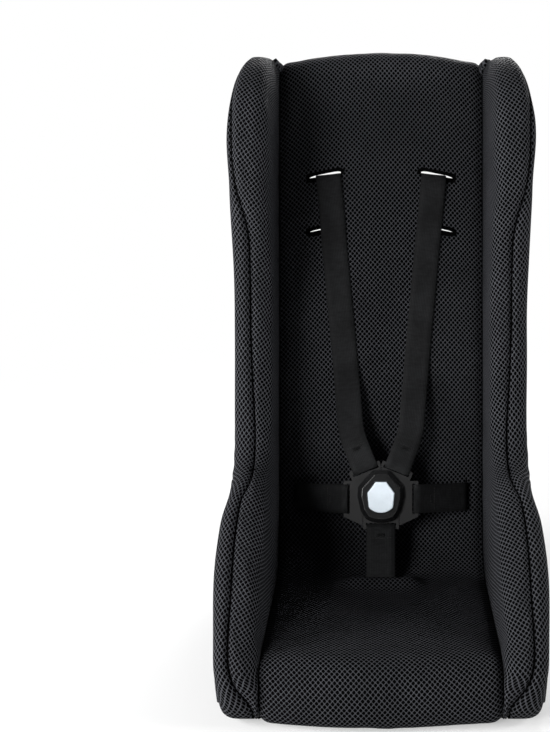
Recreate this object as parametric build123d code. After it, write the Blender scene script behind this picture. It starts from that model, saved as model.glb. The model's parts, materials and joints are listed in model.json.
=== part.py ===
from build123d import *
from math import atan2, cos, hypot, radians, sin, tan
import os

# Child bike seat: a moulded foam bucket in a sewn mesh cover, with a five-point harness whose
# straps meet in a push-button buckle. Millimetres, +Z up, the seat looks along -Y.
# While modelling, the origin is the crease where back and pan meet; every piece is moved at the
# end so that the origin is the middle of the bottom of the whole seat.

# Bucket, seen from the side
recline = 16.0  # lean of the back from upright, degrees
pan_rise = 4.0  # rise of the pan towards its front, degrees
back_length = 518.0  # up the back from the crease, in the middle
back_thickness = 44.0
pan_length = 250.0  # crease to lip, in the middle
crease_height = 40.0  # crease above the base
crease_round = 55.0
heel_reach = 70.0  # crease to the upright rear of the heel
heel_round = 16.0
knee_round = 80.0  # where the upright heel turns into the leaning rear
lip_round = 32.0
toe_round = 12.0
top_round = 19.0
lip_bow = 9.0  # how far the lip falls back at the sides of the centre panel
top_arch = 10.0  # how far the top edge falls at the sides of the centre panel

# Bolsters: depth in front of the back, at a height up the back
centre_width = 204.0  # back and pan between the two bolsters
bolster_length = 242.0  # crease to the front of a bolster
bolster_step = 1.0  # bolsters stand this far inside the rear and base of the centre
front_height = 8.0  # top of the bolster's front above the crease
hip_depth = 121.0
hip_height = 88.0
waist_depth = 66.0
waist_bottom = 115.0
waist_top = 262.0
head_depth = 101.0
head_bottom = 360.0
head_top_depth = 97.0
head_top = 491.0
bolster_drop = 8.0  # bolster's rear top corner below the top of the back
front_toe_turn = 21.0  # turns of the bolster's outline, from the front round to the rear
front_top_turn = 30.0
hip_turn = 100.0
waist_bottom_turn = 45.0
waist_top_turn = 150.0
head_turn = 90.0
crown_turn = 75.0
rear_top_turn = 22.0

# Outer wall and bolster seam: half widths of the seat at seven levels from front to top. A level
# is taken along lines that rise forwards from the back, so that the hips draw in towards the
# front of the pan.
flare_rise = 22.0  # degrees between those lines and the normal of the back
hip_level = -40.0
notch_level = 45.0
waist_level = 188.0
head_level = 345.0
crown_level = 410.0
front_half_width = 134.0
hip_half_width = 146.5
notch_half_width = 139.0
waist_half_width = 140.2
head_half_width = 144.8
crown_half_width = 138.0
top_half_width = 130.0
nose_flat = 2.0  # what the rounded edges leave of the bolster's nose where it is thinnest
inner_share = 0.48  # share of the inner edge in the rounding

# Sewn cover
cover_thickness = 6.0
seam_front = 28.0  # bolster seam inside the outer wall
seam_hip = 17.0
seam_notch = 19.0
seam_waist = 16.0
seam_head = 8.0
seam_crown = 8.5
seam_top = 9.0
field_side_inset = 2.0  # bare shell at the rear and under the base: inside the centre's sides
field_top_inset = 37.0
field_front_inset = 42.0
binding_width = 8.0

# Harness
webbing = 1.4
strap_width = 25.0
hip_strap_width = 28.0
slot_gap = 6.0
slot_margin = 11.0  # slot is this much longer than its webbing is wide
shoulder_slot_x = 56.0
shoulder_slot_heights = (391.0, 337.0)
hip_slot_inset = 16.0  # from the side of the centre
slot_climb = 10.0  # shoulder slots climb this many degrees towards the rear
slot_turn = 6.0  # shoulder slots turn this many degrees further than their straps
lip_room = 1.5  # webbing over the lower lip of its slot
crotch_slot_run = 49.0  # along the pan from the crease
pocket_depth = 14.0
pocket_round = 6.0
rod_diameter = 6.0
rod_length = 48.0
rod_play = 0.15
rod_drop = 25.0  # shoulder rods below the middle of their slots
loop_room = 1.6  # recess round a webbing loop
sight_room = 14.0  # rear channel over the middle of a shoulder slot

# Belt tunnels moulded in the rear of the shell
tunnel_heights = (262.0, 160.0)
tunnel_length = 130.0
tunnel_tall = 36.0
bridge_length = 44.0
bridge_thickness = 6.0

# Buckle
buckle_height = 72.0  # centre, up the back
buckle_depth = 30.0  # middle of the tongues, in front of the back
tongue_thickness = 3.0
tongue_radius = 30.0
bar_thickness = 3.0
bar_post = 2.6
bar_slot = 3.0
bar_play = 0.8  # webbing slot is this much wider than the webbing on each side
shoulder_bar = (16.0, 28.0)
bar_turn = 22.0  # shoulder bars turn this many degrees from level
bend_rise = 36.0  # shoulder straps turn in towards the bars this far above them
bend_depth = 20.0  # and stand this far in front of the back there
hip_bar = (35.0, -2.0)
crotch_bar_drop = 30.0
wing_foot = 28.0  # lower edge of a tongue beside the crotch strap, below the centre
split = 0.4
housing_radius = 27.0
housing_floor = 2.2
boss_top = 4.5  # round boss of the top screw
bezel_corners = ((8.0, 26.0), (22.3, 10.3), (23.0, 0.0), (19.7, -13.9), (14.4, -21.8))
bezel_bottom = 25.4
bezel_corner = 5.0
bezel_depth = 7.7
bezel_wall = 2.0  # upright part of the bezel's side
bezel_taper = 36.0  # slope of the rest from the upright, degrees
bezel_round = 1.4
button_corners = ((5.2, 15.0), (13.2, 4.2), (11.8, -9.6))
button_bottom = 15.0
button_proud = 1.7
button_cap = 5.6
stem_radius = 6.0
arm_reach = 12.8
arm_width = 7.4
arm_thickness = 3.2
lug_length = 3.0
button_travel = 3.4
coil_room = 3.2  # height of the spring when the button is pressed home
play = 0.3
spring_radius = 4.2
spring_wire = 0.8
spring_turns = 4
screw_places = ((-9.0, -19.0), (9.0, -19.0), (0.0, 20.6))
screw_diameter = 2.0
screw_head = 4.4
screw_head_height = 2.0
screw_bite = 4.0

lean = radians(recline)
rise = radians(pan_rise)
flare = radians(flare_rise)
climb = radians(slot_climb)
AHEAD = Vector(0, -cos(lean), sin(lean))  # square to the back, towards the child
UP_BACK = Vector(0, sin(lean), cos(lean))
ACROSS = Vector(1, 0, 0)
BACK = Plane(origin=(0, 0, 0), x_dir=ACROSS, z_dir=AHEAD)
base_z = -crease_height
FAR = 700.0


def side_point(ahead, up):
    """(y, z) of a point that far in front of the back and that far up it from the crease."""
    return (-ahead * cos(lean) + up * sin(lean), ahead * sin(lean) + up * cos(lean))


def on_back(x, up, ahead=0.0):
    """The same as a point in space."""
    return ACROSS * x + UP_BACK * up + AHEAD * ahead


def knee_height(ahead, rear):
    """Height up the back at which the line `ahead` of the back meets the upright y = rear."""
    return (rear + ahead * cos(lean)) / sin(lean)


def across(face, left, right):
    """Side-view face drawn out from one x to another."""
    return extrude(Plane.YZ.offset(left) * face, amount=right - left)


def only_solid(shape):
    """The largest solid of a result."""
    return shape.solids().sort_by(SortBy.VOLUME)[-1]


# Bucket

half_widths = (
    front_half_width, hip_half_width, notch_half_width, waist_half_width,
    head_half_width, crown_half_width, top_half_width,
)
rounding = min(half_widths) - centre_width / 2 - nose_flat
inner_round = inner_share * rounding
outer_round = rounding - inner_round
reach = centre_width / 2 + inner_round + 5.0  # half width of the centre body, ends inside the bolsters


def bow(sag):
    """Fall at the ends of the centre body of a curve that falls `sag` at the bolsters."""
    return sag * (2 * reach / centre_width) ** 2


def centre_body(inset):
    """Back, pan and base between the bolsters, drawn in by `inset` all round."""
    floor = base_z + inset
    rear = inset - back_thickness
    pan_fall = inset / cos(rise)
    front = -pan_length - FAR
    top = back_length + FAR
    crease_up = (inset * (sin(lean) - cos(lean) * tan(rise)) - pan_fall) / (cos(lean) + sin(lean) * tan(rise))
    crease = side_point(-inset, crease_up)
    heel = (heel_reach - inset, floor)
    knee = side_point(rear, knee_height(rear, heel[0]))
    outline = Polyline(
        crease,
        (front, -front * tan(rise) - pan_fall),
        (front, floor),
        heel,
        knee,
        side_point(rear, top),
        side_point(-inset, top),
        close=True,
    )
    face = make_face(outline)
    face = fillet(face.vertices().sort_by_distance((*crease, 0))[0], crease_round + inset)
    face = fillet(face.vertices().sort_by_distance((*heel, 0))[0], heel_round - inset)
    face = fillet(face.vertices().sort_by_distance((*knee, 0))[0], knee_round + inset)
    body = across(face, -reach, reach)

    # Bowed lip, cut in plan, and arched top edge, cut along the normal of the back
    lip_end = bow(lip_bow) + inset - pan_length
    lip_curve = ThreePointArc((-reach, lip_end), (0, inset - pan_length), (reach, lip_end))
    plan = make_face(lip_curve + Polyline(lip_curve @ 1, (reach, FAR), (-reach, FAR), lip_curve @ 0))
    body = body & extrude(plan, amount=FAR, both=True)
    top_end = back_length - bow(top_arch) - inset
    top_curve = ThreePointArc((-reach, top_end), (0, back_length - inset), (reach, top_end))
    front_view = make_face(top_curve + Polyline(top_curve @ 1, (reach, -FAR), (-reach, -FAR), top_curve @ 0))
    body = body & extrude(BACK * front_view, amount=FAR, both=True)

    for low, radius in ((1, lip_round), (0, toe_round)):
        edge = curved_edges(body).sort_by(Axis.Z)[low]
        body = fillet(edge, radius - inset)
    return fillet(curved_edges(body).sort_by(Axis.Z)[-2:], top_round - inset)


def curved_edges(body):
    """Bowed edges that run from end to end of the centre body."""
    return body.edges().filter_by(GeomType.LINE, reverse=True).filter_by(
        lambda edge: edge.bounding_box().size.X > 2 * reach - 1.0
    )


def bolster_outline(inset):
    """Side view of a bolster: armrest at the hip, dip at the waist, wing at the head."""
    floor = base_z + bolster_step + inset
    front = inset - bolster_length
    rear = bolster_step + inset - back_thickness
    heel = heel_reach - bolster_step - inset
    corners = (
        ((front, floor), front_toe_turn - inset),
        ((front, front_height - inset / 2), front_top_turn - inset),
        (side_point(hip_depth - inset, hip_height - inset / 2), hip_turn - inset),
        (side_point(waist_depth - inset, waist_bottom - inset), waist_bottom_turn + inset),
        (side_point(waist_depth - inset, waist_top), waist_top_turn + inset),
        (side_point(head_depth - inset, head_bottom), head_turn - inset),
        (side_point(head_top_depth - inset, head_top - inset), crown_turn - inset),
        (side_point(rear, back_length - bolster_drop - inset), rear_top_turn - inset),
        (side_point(rear, knee_height(rear, heel)), knee_round + inset),
        ((heel, floor), heel_round - inset),
    )
    points = [point for point, radius in corners]
    radii = [radius for point, radius in corners]
    return make_face(FilletPolyline(*points, radius=radii, close=True))


def level(point):
    """Level of a (y, z) point for the half widths."""
    return point[0] * sin(lean + flare) + point[1] * cos(lean + flare)


def flare_band(widths):
    """Everything between the middle plane and a curve through seven half widths, as a prism."""
    ahead = AHEAD * cos(flare) + UP_BACK * sin(flare)
    view = Plane(origin=(0, 0, 0), x_dir=ACROSS, z_dir=ahead)
    bottom = level((-bolster_length, base_z)) - outer_round / 4
    top = level(side_point(-back_thickness, back_length)) + outer_round
    levels = (bottom, hip_level, notch_level, waist_level, head_level, crown_level, top)
    upright = (0, 1)
    first = (widths[1] - widths[0], (hip_level - bottom) / 2)
    last = (widths[6] - widths[4], top - head_level)
    curve = Spline(*zip(widths, levels), tangents=[first, upright, upright, upright, upright, last, last])
    outline = curve + Polyline(curve @ 1, (0, top), (0, bottom), curve @ 0)
    return extrude(view * make_face(outline), amount=FAR, both=True)


def bolster(inset):
    """Right-hand bolster with its rounded outer and inner edges."""
    inner = centre_width / 2 + inset
    plate = across(bolster_outline(inset), inner, hip_half_width + 20)
    plate = plate & flare_band([width - inset for width in half_widths])
    plate = fillet(plate.faces().sort_by(Axis.X)[-1].edges(), outer_round - inset)
    return fillet(plate.faces().sort_by(Axis.X)[0].edges(), inner_round - inset)


def bucket(inset):
    """Whole bucket: centre and both bolsters."""
    right = bolster(inset)
    return only_solid(centre_body(inset) + right + mirror(right, Plane.YZ))


def rear_field(grow):
    """Zone round the rear, heel and base that the cover leaves open, widened by `grow`."""
    half = centre_width / 2 - field_side_inset + grow
    deep = back_thickness / 2
    top = back_length - field_top_inset + grow
    front = field_front_inset - pan_length - grow
    rear_zone = make_face(
        Polyline(
            side_point(-deep, -FAR), side_point(-FAR, -FAR), side_point(-FAR, top), side_point(-deep, top),
            close=True,
        )
    )
    base_zone = make_face(
        Polyline(
            (front, base_z - FAR), (FAR, base_z - FAR), (FAR, base_z + deep / 2), (front, base_z + deep / 2),
            close=True,
        )
    )
    return across(rear_zone, -half, half) + across(base_zone, -half, half)


# Places of the slots, as planes: y the way the strap runs off, z out of the padding


def slot_plane(origin, run, out):
    """Plane of a slot's mouth."""
    return Plane(origin=origin, x_dir=run.cross(out), z_dir=out)


def shoulder_bend(side):
    """(x, height up the back) at which a shoulder strap turns in towards its bar."""
    turn = radians(bar_turn)
    x = shoulder_bar[0] + bend_rise * sin(turn)
    return (side * x, buckle_height + shoulder_bar[1] + bend_rise * cos(turn))


def shoulder_lean(side):
    """Angle of a shoulder strap from the line straight up the back."""
    x, up = shoulder_bend(1)
    return side * atan2(shoulder_slot_x - x, shoulder_slot_heights[0] - up)


def leaning_plane(origin, turn):
    """Plane square to the strap that hangs from a point of the back at that angle."""
    return slot_plane(origin, ACROSS * -sin(turn) - UP_BACK * cos(turn), AHEAD)


def shoulder_plane(side, height, further=0.0):
    """Slot of a shoulder strap, turned further than its strap by that many degrees."""
    turn = shoulder_lean(side) + side * radians(further)
    return leaning_plane(on_back(side * shoulder_slot_x, height), turn)


def hip_plane(side):
    """Slot of a hip strap, upright and beside the bolster."""
    place = on_back(side * (centre_width / 2 - hip_slot_inset), buckle_height + hip_bar[1])
    return slot_plane(place, ACROSS * -side, AHEAD)


def crotch_plane():
    """Slot of the crotch strap, across the pan and straight down through it."""
    run = crotch_slot_run * cos(rise)
    return slot_plane(Vector(0, -run, run * tan(rise)), Vector(0, 1, 0), Vector(0, 0, 1))


SIDES = {"left": -1, "right": 1}
STRAPS = {}  # slot plane, strap width, distance from slot mouth to pocket floor
for name, side in SIDES.items():
    back_pocket = back_thickness - pocket_depth
    STRAPS[f"shoulder_{name}"] = (shoulder_plane(side, shoulder_slot_heights[0]), strap_width, back_pocket)
    STRAPS[f"hip_{name}"] = (hip_plane(side), hip_strap_width, back_pocket)
pan_pocket = crease_height + crotch_plane().origin.Z - pocket_depth
STRAPS["crotch"] = (crotch_plane(), hip_strap_width, pan_pocket)

rod_radius = rod_diameter / 2
loop_radius = rod_radius + rod_play + webbing  # outside of the webbing round a rod
seat_line = slot_gap / 2 - lip_room - webbing / 2  # webbing from the middle of its slot
rod_offset = seat_line - rod_radius - rod_play - webbing / 2  # rod from the middle of its slot


def slot_cut(plane, width, slope=0.0):
    """Open slot right through the padding, climbing to the rear by `slope` radians."""
    axis = plane.z_dir * cos(slope) + plane.y_dir * sin(slope)
    mouth = Plane(origin=plane.origin, x_dir=plane.x_dir, z_dir=axis)
    return extrude(mouth * SlotOverall(width + slot_margin, slot_gap), amount=FAR / 6, both=True)


def anchor_cut(plane, width, depth):
    """Pocket for a rod on the far side of a slot, with room for the webbing round the rod."""
    floor = plane.offset(-depth)
    pocket = RectangleRounded(rod_length + 8.0, rod_length / 2, pocket_round)
    recess = RectangleRounded(width + 4.0, 2 * loop_radius + loop_room, 2.0)
    cut = extrude(floor * pocket, amount=-FAR / 6)
    return cut + extrude(floor * Pos(0, rod_offset) * recess, amount=loop_radius - rod_radius + loop_room)


def drop_cut(plane, width, depth):
    """Pocket behind a shoulder slot: a channel down from the slot to a cross pocket for the rod."""
    floor = plane.offset(-depth)
    ledge = rod_drop - rod_radius - rod_play
    seat = 2 * loop_radius + loop_room
    channel = Pos(0, (ledge + seat - sight_room) / 2) * RectangleRounded(
        width + slot_margin + 4.0, ledge + seat + sight_room, pocket_round
    )
    cross = Pos(0, ledge + seat / 2) * RectangleRounded(rod_length + 8.0, seat, 3.0)
    return extrude(floor * channel, amount=-FAR / 6) + extrude(floor * cross, amount=-FAR / 6)


def tunnel_cut(height):
    """Belt channel in the rear of the shell with a bridge left across it."""
    rear = Plane(origin=on_back(0, height, -back_thickness), x_dir=ACROSS, z_dir=AHEAD)
    channel = extrude(rear * RectangleRounded(tunnel_length, tunnel_tall, pocket_round), amount=pocket_depth)
    bridge = extrude(rear * Rectangle(bridge_length, tunnel_tall), amount=bridge_thickness)
    return channel - bridge


# Harness


def ribbon(path):
    """Edge view of webbing along a path."""
    return trace(path, line_width=webbing)


def ring(centre, inner):
    """Edge view of webbing sewn round a bar."""
    return Pos(*centre) * (Circle(inner + webbing) - Circle(inner))


bar_loop = hypot(bar_thickness, bar_thickness) / 2 + 0.1  # inside of the webbing round a tongue bar


def widened(plane, shape, width):
    """Edge view of webbing, drawn out to its width."""
    view = Plane(origin=plane.origin, x_dir=plane.y_dir, z_dir=plane.x_dir)
    return extrude(view * shape, amount=width / 2, both=True)


def buckled_end(start, bar, tail):
    """End of the webbing that comes from `start`, and the edge view of its loop round a bar.

    Places are (distance along the strap, height over the slot's mouth), tail is the length of
    the sewn-back end.
    """
    way = atan2(bar[1] - start[1], bar[0] - start[0])
    off = bar_loop + webbing / 2
    end = (bar[0] - off * sin(way), bar[1] + off * cos(way))
    under = (bar[0] + off * sin(way), bar[1] - off * cos(way))
    back = (end[0] - tail * cos(way) + webbing * sin(way), end[1] - tail * sin(way) - webbing * cos(way))
    return end, ring(bar, bar_loop) + ribbon(Line(under, back))


def strap(plane, width, rod, route, bar, tail):
    """Webbing from its rod behind a slot by the corners of its route to a bar of the buckle."""
    end, loop = buckled_end(route[-1], bar, tail)
    shape = ribbon(FilletPolyline(*route, end, radius=3.0)) + ring(rod, rod_radius + rod_play) + loop
    return widened(plane, shape, width)


def bent_strap(side, rod, route, tail):
    """Shoulder webbing: down the back from its slot, then turned in towards its bar."""
    plane, width, depth = STRAPS["shoulder_right" if side > 0 else "shoulder_left"]
    x, up = shoulder_bend(side)
    low_plane = leaning_plane(on_back(x, up), side * radians(bar_turn))
    bend = (seen_from(plane, low_plane.origin)[0], bend_depth)
    slope = (buckle_depth - bend_depth) / bend_rise
    lap = width / 2 * tan(radians(bar_turn) / 2)
    upper = ribbon(FilletPolyline(*route, (bend[0] + lap, bend[1] + lap * slope), radius=3.0))
    start = (-lap, bend_depth - lap * slope)
    end, loop = buckled_end(start, (bend_rise, buckle_depth), tail)
    lower = ribbon(Line(start, end)) + loop
    whole = widened(plane, upper + ring(rod, rod_radius + rod_play), width)
    return whole + widened(low_plane, lower, width)


def seen_from(plane, point):
    """(distance along the strap, height over the slot) of a point in space."""
    away = point - plane.origin
    return (away.dot(plane.y_dir), away.dot(plane.z_dir))


def buckle_point(x, up):
    """Point in the middle plane of the tongues."""
    return on_back(x, buckle_height + up, buckle_depth)


def rod_place(name):
    """(distance along the strap, height over the slot's mouth) of a rod's middle."""
    depth = STRAPS[name][2]
    if name.startswith("shoulder"):
        return (rod_drop, -depth - rod_play - loop_radius)
    return (rod_offset, -depth - rod_play - rod_radius)


def make_straps():
    """The five straps of the harness."""
    lie = 0.4 + webbing / 2  # webbing over the cover
    bulge = 4.0  # webbing stands this far off where it turns out of a slot
    pieces = {}
    for name, side in SIDES.items():
        plane, width, depth = STRAPS[f"shoulder_{name}"]
        rod = rod_place(f"shoulder_{name}")
        behind = rod[1] + rod_radius + rod_play + webbing / 2
        turn_in = -depth - bulge
        route = (
            (rod[0], behind),
            (rod[0] - 17.0, behind),
            (seat_line + turn_in * tan(climb), turn_in),
            (seat_line + bulge * tan(climb), bulge),
            (34.0, lie),
            (190.0, lie),
        )
        pieces[f"shoulder_strap_{name}"] = bent_strap(side, rod, route, 28.0)

        plane, width, depth = STRAPS[f"hip_{name}"]
        rod = rod_place(f"hip_{name}")
        bar = seen_from(plane, buckle_point(side * hip_bar[0], hip_bar[1]))
        route = ((seat_line, rod[1]), (seat_line, bulge + 1.0))
        pieces[f"hip_strap_{name}"] = strap(plane, width, rod, route, bar, 24.0)

    plane, width, depth = STRAPS["crotch"]
    rod = rod_place("crotch")
    bar = seen_from(plane, buckle_point(0, -crotch_bar_drop))
    route = ((seat_line, rod[1]), (seat_line, bulge + 2.0))
    pieces["crotch_strap"] = strap(plane, width, rod, route, bar, 16.0)
    return pieces


def make_rods():
    """Steel rods that hold the strap ends behind the shell."""
    pieces = {}
    for name, (plane, width, depth) in STRAPS.items():
        down, out = rod_place(name)
        along = Plane(origin=plane.origin + plane.y_dir * down + plane.z_dir * out, z_dir=plane.x_dir)
        rod = extrude(along * Circle(rod_radius), amount=rod_length / 2, both=True)
        pieces[f"{name}_rod"] = chamfer(rod.edges(), 0.6)
    return pieces


# Buckle, drawn in the middle plane of the tongues: x across, y up the back, z ahead

BUCKLE = Plane(origin=buckle_point(0, 0), x_dir=ACROSS, z_dir=AHEAD)
housing_depth = housing_floor + coil_room + button_travel + arm_thickness
half_plate = tongue_thickness / 2
face_z = half_plate + play  # rear of the bezel, and the housing's rim on the other side
floor_z = -face_z - housing_depth + housing_floor
arm_top = -face_z
button_top = face_z + bezel_depth + button_proud


def block(face, low, high):
    """Face of the buckle drawn out between two depths."""
    return extrude(BACK_TO_BUCKLE * Pos(0, 0, low) * face, amount=high - low)


BACK_TO_BUCKLE = BUCKLE.location


def bar_frame(width, inner):
    """Bar with a webbing slot: bar centred on the origin, frame running `inner` below it."""
    half = width / 2 + bar_play
    frame = Pos(0, -(inner - bar_thickness / 2) / 2) * Rectangle(2 * (half + bar_post), inner + bar_thickness / 2)
    slot = Pos(0, -(bar_thickness + bar_slot) / 2) * Rectangle(2 * half, bar_slot)
    return frame, slot


def crest(corners, bottom):
    """Face with a flat top and a round bottom, from the corners of its right half."""
    x, y = corners[-1]
    belly = ThreePointArc((x, y), (0, -bottom), (-x, y))
    left = tuple((-x, y) for x, y in reversed(corners))
    return make_face(belly + Polyline(*left, *corners))


def button_face(grow):
    """Outline of the button, or of its opening when grown."""
    face = crest(button_corners, button_bottom)
    return offset(face, grow) if grow else face


def make_tongue(side):
    """Plate with a shoulder bar, a hip bar and a latched nose."""
    plate = Circle(tongue_radius) - Circle(arm_reach + 2.2)
    frames = []
    slots = []
    frame, slot = bar_frame(strap_width, 20.0)
    place = Pos(*shoulder_bar) * Rot(0, 0, -bar_turn)
    frames.append(place * frame)
    slots.append(place * slot)
    frame, slot = bar_frame(hip_strap_width, 20.0)
    place = Pos(*hip_bar) * Rot(0, 0, -90)
    frames.append(place * frame)
    slots.append(place * slot)
    crotch_frame = hip_strap_width + 2 * (bar_play + bar_post)
    beside_crotch = crotch_frame / 2 + 2 * play
    tip = (hip_bar[0] + bar_thickness / 2, hip_bar[1] - hip_strap_width / 2 - bar_play - bar_post)
    inside = tongue_radius / 2
    wing = Polyline((inside, -inside), (tip[0], -inside), tip, (beside_crotch, -wing_foot), (inside, -wing_foot), close=True)
    frames.append(make_face(wing))
    for frame in frames:
        plate = plate + frame
    for slot in slots:
        plate = plate - slot
    plate = plate - Circle(arm_reach + 2.2)
    nose_tip = stem_radius + 1.0
    nose = Pos((nose_tip + arm_reach + 5) / 2, 0) * Rectangle(arm_reach + 5 - nose_tip, 2 * arm_width)
    window_x = arm_reach - lug_length / 2
    window = Pos(window_x, 0) * Rectangle(lug_length + 2 * play, arm_width + 2 * play)
    plate = plate + nose - window
    right_half = Pos(FAR / 2 + split, 0) * Rectangle(FAR, FAR)
    plate = plate & right_half
    boss_room = boss_top + play
    plate = plate - Pos(*screw_places[2]) * Circle(boss_room)
    plate = plate - Pos(0, -FAR / 2 - 12.0) * Rectangle(2 * beside_crotch, FAR)
    piece = block(plate, -half_plate, half_plate)
    piece = only_solid(piece)
    edges = piece.edges().filter_by(lambda edge: abs(edge.tangent_at(0).dot(AHEAD)) > 0.999)
    outline = edges.filter_by(lambda edge: abs(edge.center().X) > tongue_radius)
    piece = fillet(outline, 1.2)
    return piece if side > 0 else mirror(piece, Plane.YZ)


def make_housing():
    """Rear half of the buckle with the crotch bar and the well of the button."""
    rear = -face_z - housing_depth
    body = block(Circle(housing_radius), rear, -face_z)
    body = fillet(body.edges().group_by(lambda edge: round(edge.center().dot(AHEAD), 3))[0], 3.0)
    well = Rectangle(2 * (arm_reach + 0.8), arm_width + 1.6) + Circle(spring_radius + 2.4)
    body = body - block(well, floor_z, FAR / 10)
    pad = Pos(0, -17.5) * RectangleRounded(29.0, 9.6, 3.0)
    body = body + block(pad, -face_z - 1.0, face_z - 0.1)
    body = body + block(Pos(*screw_places[2]) * Circle(boss_top), -face_z - 1.0, face_z - 0.1)
    frame, slot = bar_frame(hip_strap_width, crotch_bar_drop - 17.5)
    place = Pos(0, -crotch_bar_drop) * Rot(0, 0, 180)
    lip = block(place * frame, -half_plate, half_plate) - block(place * slot, -half_plate - 1, half_plate + 1)
    body = body - block(Pos(0, -crotch_bar_drop) * Rectangle(60, 2 * (bar_slot + bar_thickness / 2)), -4.5, 4.5)
    body = body + lip
    for x, y in screw_places:
        shaft = Pos(x, y) * Circle(screw_diameter / 2 + 0.15)
        head = Pos(x, y) * Circle(screw_head / 2 + 0.2)
        body = body - block(shaft, rear - 1, face_z + 1)
        body = body - block(head, rear - 1, rear + screw_head_height + 0.2)
    return only_solid(body)


def make_bezel():
    """Front of the buckle with the opening for the button."""
    face = fillet(crest(bezel_corners, bezel_bottom).vertices(), bezel_corner)
    top = face_z + bezel_depth
    body = block(face, face_z, top)
    front = body.faces().sort_by(lambda f: f.center().dot(AHEAD))[-1]
    drop = bezel_depth - bezel_wall
    body = chamfer(front.edges(), drop * tan(radians(bezel_taper)), drop, reference=front)
    body = fillet(body.faces().sort_by(lambda f: f.center().dot(AHEAD))[-1].edges(), bezel_round)
    body = body - block(button_face(play), face_z - 1, top + 1)
    mouth = body.faces().sort_by(lambda f: f.center().dot(AHEAD))[-1].inner_wires()[0].edges()
    body = chamfer(mouth, 0.8)
    for x, y in screw_places:
        body = body - block(Pos(x, y) * Circle(screw_diameter / 2 + 0.1), face_z - 1, face_z + screw_bite + 0.4)
    return only_solid(body)


def make_button():
    """Button with its stem and the two latch lugs that stand in the tongues' windows."""
    cap = block(button_face(0), button_top - button_cap, button_top)
    cap = fillet(cap.faces().sort_by(lambda f: f.center().dot(AHEAD))[-1].edges(), 1.2)
    stem = block(Circle(stem_radius), arm_top - arm_thickness, button_top - button_cap)
    arms = block(Rectangle(2 * arm_reach, arm_width), arm_top - arm_thickness, arm_top)
    body = cap + stem + arms
    for side in SIDES.values():
        lug = Pos(side * (arm_reach - lug_length / 2), 0) * Rectangle(lug_length, arm_width)
        body = body + block(lug, arm_top - 0.5, half_plate - play)
    return only_solid(body)


def make_spring():
    """Coil spring between the housing's floor and the arms of the button."""
    low = floor_z + spring_wire / 2 + 0.05
    high = arm_top - arm_thickness - spring_wire / 2 - 0.05
    coil = Helix(pitch=(high - low) / spring_turns, height=high - low, radius=spring_radius)
    section = Plane(origin=coil @ 0, x_dir=(1, 0, 0), z_dir=coil % 0) * Rectangle(spring_wire, spring_wire)
    return BACK_TO_BUCKLE * Pos(0, 0, low) * sweep(section, path=coil, is_frenet=True)


def make_screws():
    """Three equal screws from the rear of the housing into the bezel."""
    rear = -face_z - housing_depth
    screws = []
    for x, y in screw_places:
        head = block(Pos(x, y) * Circle(screw_head / 2), rear + 0.2, rear + screw_head_height)
        shaft = block(Pos(x, y) * Circle(screw_diameter / 2), rear + screw_head_height - 0.2, face_z + screw_bite)
        drive = block(Pos(x, y) * RegularPolygon(1.0, 6), rear, rear + 1.2)
        screws.append(only_solid(head + shaft - drive))
    return Compound(screws)


# Shell and cover


def make_seat():
    """Foam shell, the five panels of the cover and the binding of its open edge."""
    outside = bucket(0)
    core = bucket(cover_thickness)
    middle = centre_body(0)
    shell = core + (middle & rear_field(0))
    filled = core + (middle & rear_field(binding_width))
    binding = filled - shell
    cover = outside - filled

    cuts = []
    pockets = []
    for height in shoulder_slot_heights:
        for side in SIDES.values():
            plane = shoulder_plane(side, height)
            cuts.append(slot_cut(shoulder_plane(side, height, slot_turn), strap_width, climb))
            pockets.append(drop_cut(plane, strap_width, back_thickness - pocket_depth))
    for name in ("hip_left", "hip_right", "crotch"):
        plane, width, depth = STRAPS[name]
        cuts.append(slot_cut(plane, width))
        pockets.append(anchor_cut(plane, width, depth))
    for cut in cuts + pockets:
        shell = shell - cut
    for height in tunnel_heights:
        shell = shell - tunnel_cut(height)

    half = centre_width / 2
    centre = cover & Box(centre_width, 3 * FAR, 3 * FAR)
    for cut in cuts:
        centre = centre - cut
    beside = cover & (Pos(half + FAR / 2, 0, 0) * Box(FAR, 3 * FAR, 3 * FAR))
    seams = (seam_front, seam_hip, seam_notch, seam_waist, seam_head, seam_crown, seam_top)
    within_seam = flare_band([width - seam for width, seam in zip(half_widths, seams)])
    ahead_of_rear = BACK * Pos(0, 0, FAR - back_thickness / 2) * Box(2 * FAR, 4 * FAR, 2 * FAR)
    ridge = beside & within_seam & ahead_of_rear
    flank = beside - ridge
    pieces = {"seat_shell": shell, "cover_centre_panel": centre, "hem_binding": binding}
    pieces["cover_bolster_panel_right"] = ridge
    pieces["cover_side_panel_right"] = flank
    pieces["cover_bolster_panel_left"] = mirror(ridge, Plane.YZ)
    pieces["cover_side_panel_left"] = mirror(flank, Plane.YZ)
    return {name: only_solid(piece) for name, piece in pieces.items()}, outside


def make_buckle():
    """All pieces of the buckle."""
    return {
        "tongue_left": make_tongue(-1),
        "tongue_right": make_tongue(1),
        "buckle_housing": make_housing(),
        "buckle_bezel": make_bezel(),
        "release_button": make_button(),
        "button_spring": make_spring(),
        "buckle_screws": make_screws(),
    }


pieces, outside = make_seat()
pieces.update(make_straps())
pieces.update(make_rods())
pieces.update(make_buckle())

extent = outside.bounding_box()
to_origin = Pos(0, -extent.center().Y, -extent.min.Z)
os.makedirs("parts", exist_ok=True)
for name, piece in pieces.items():
    export_step(to_origin * piece, f"parts/{name}.step")
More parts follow.
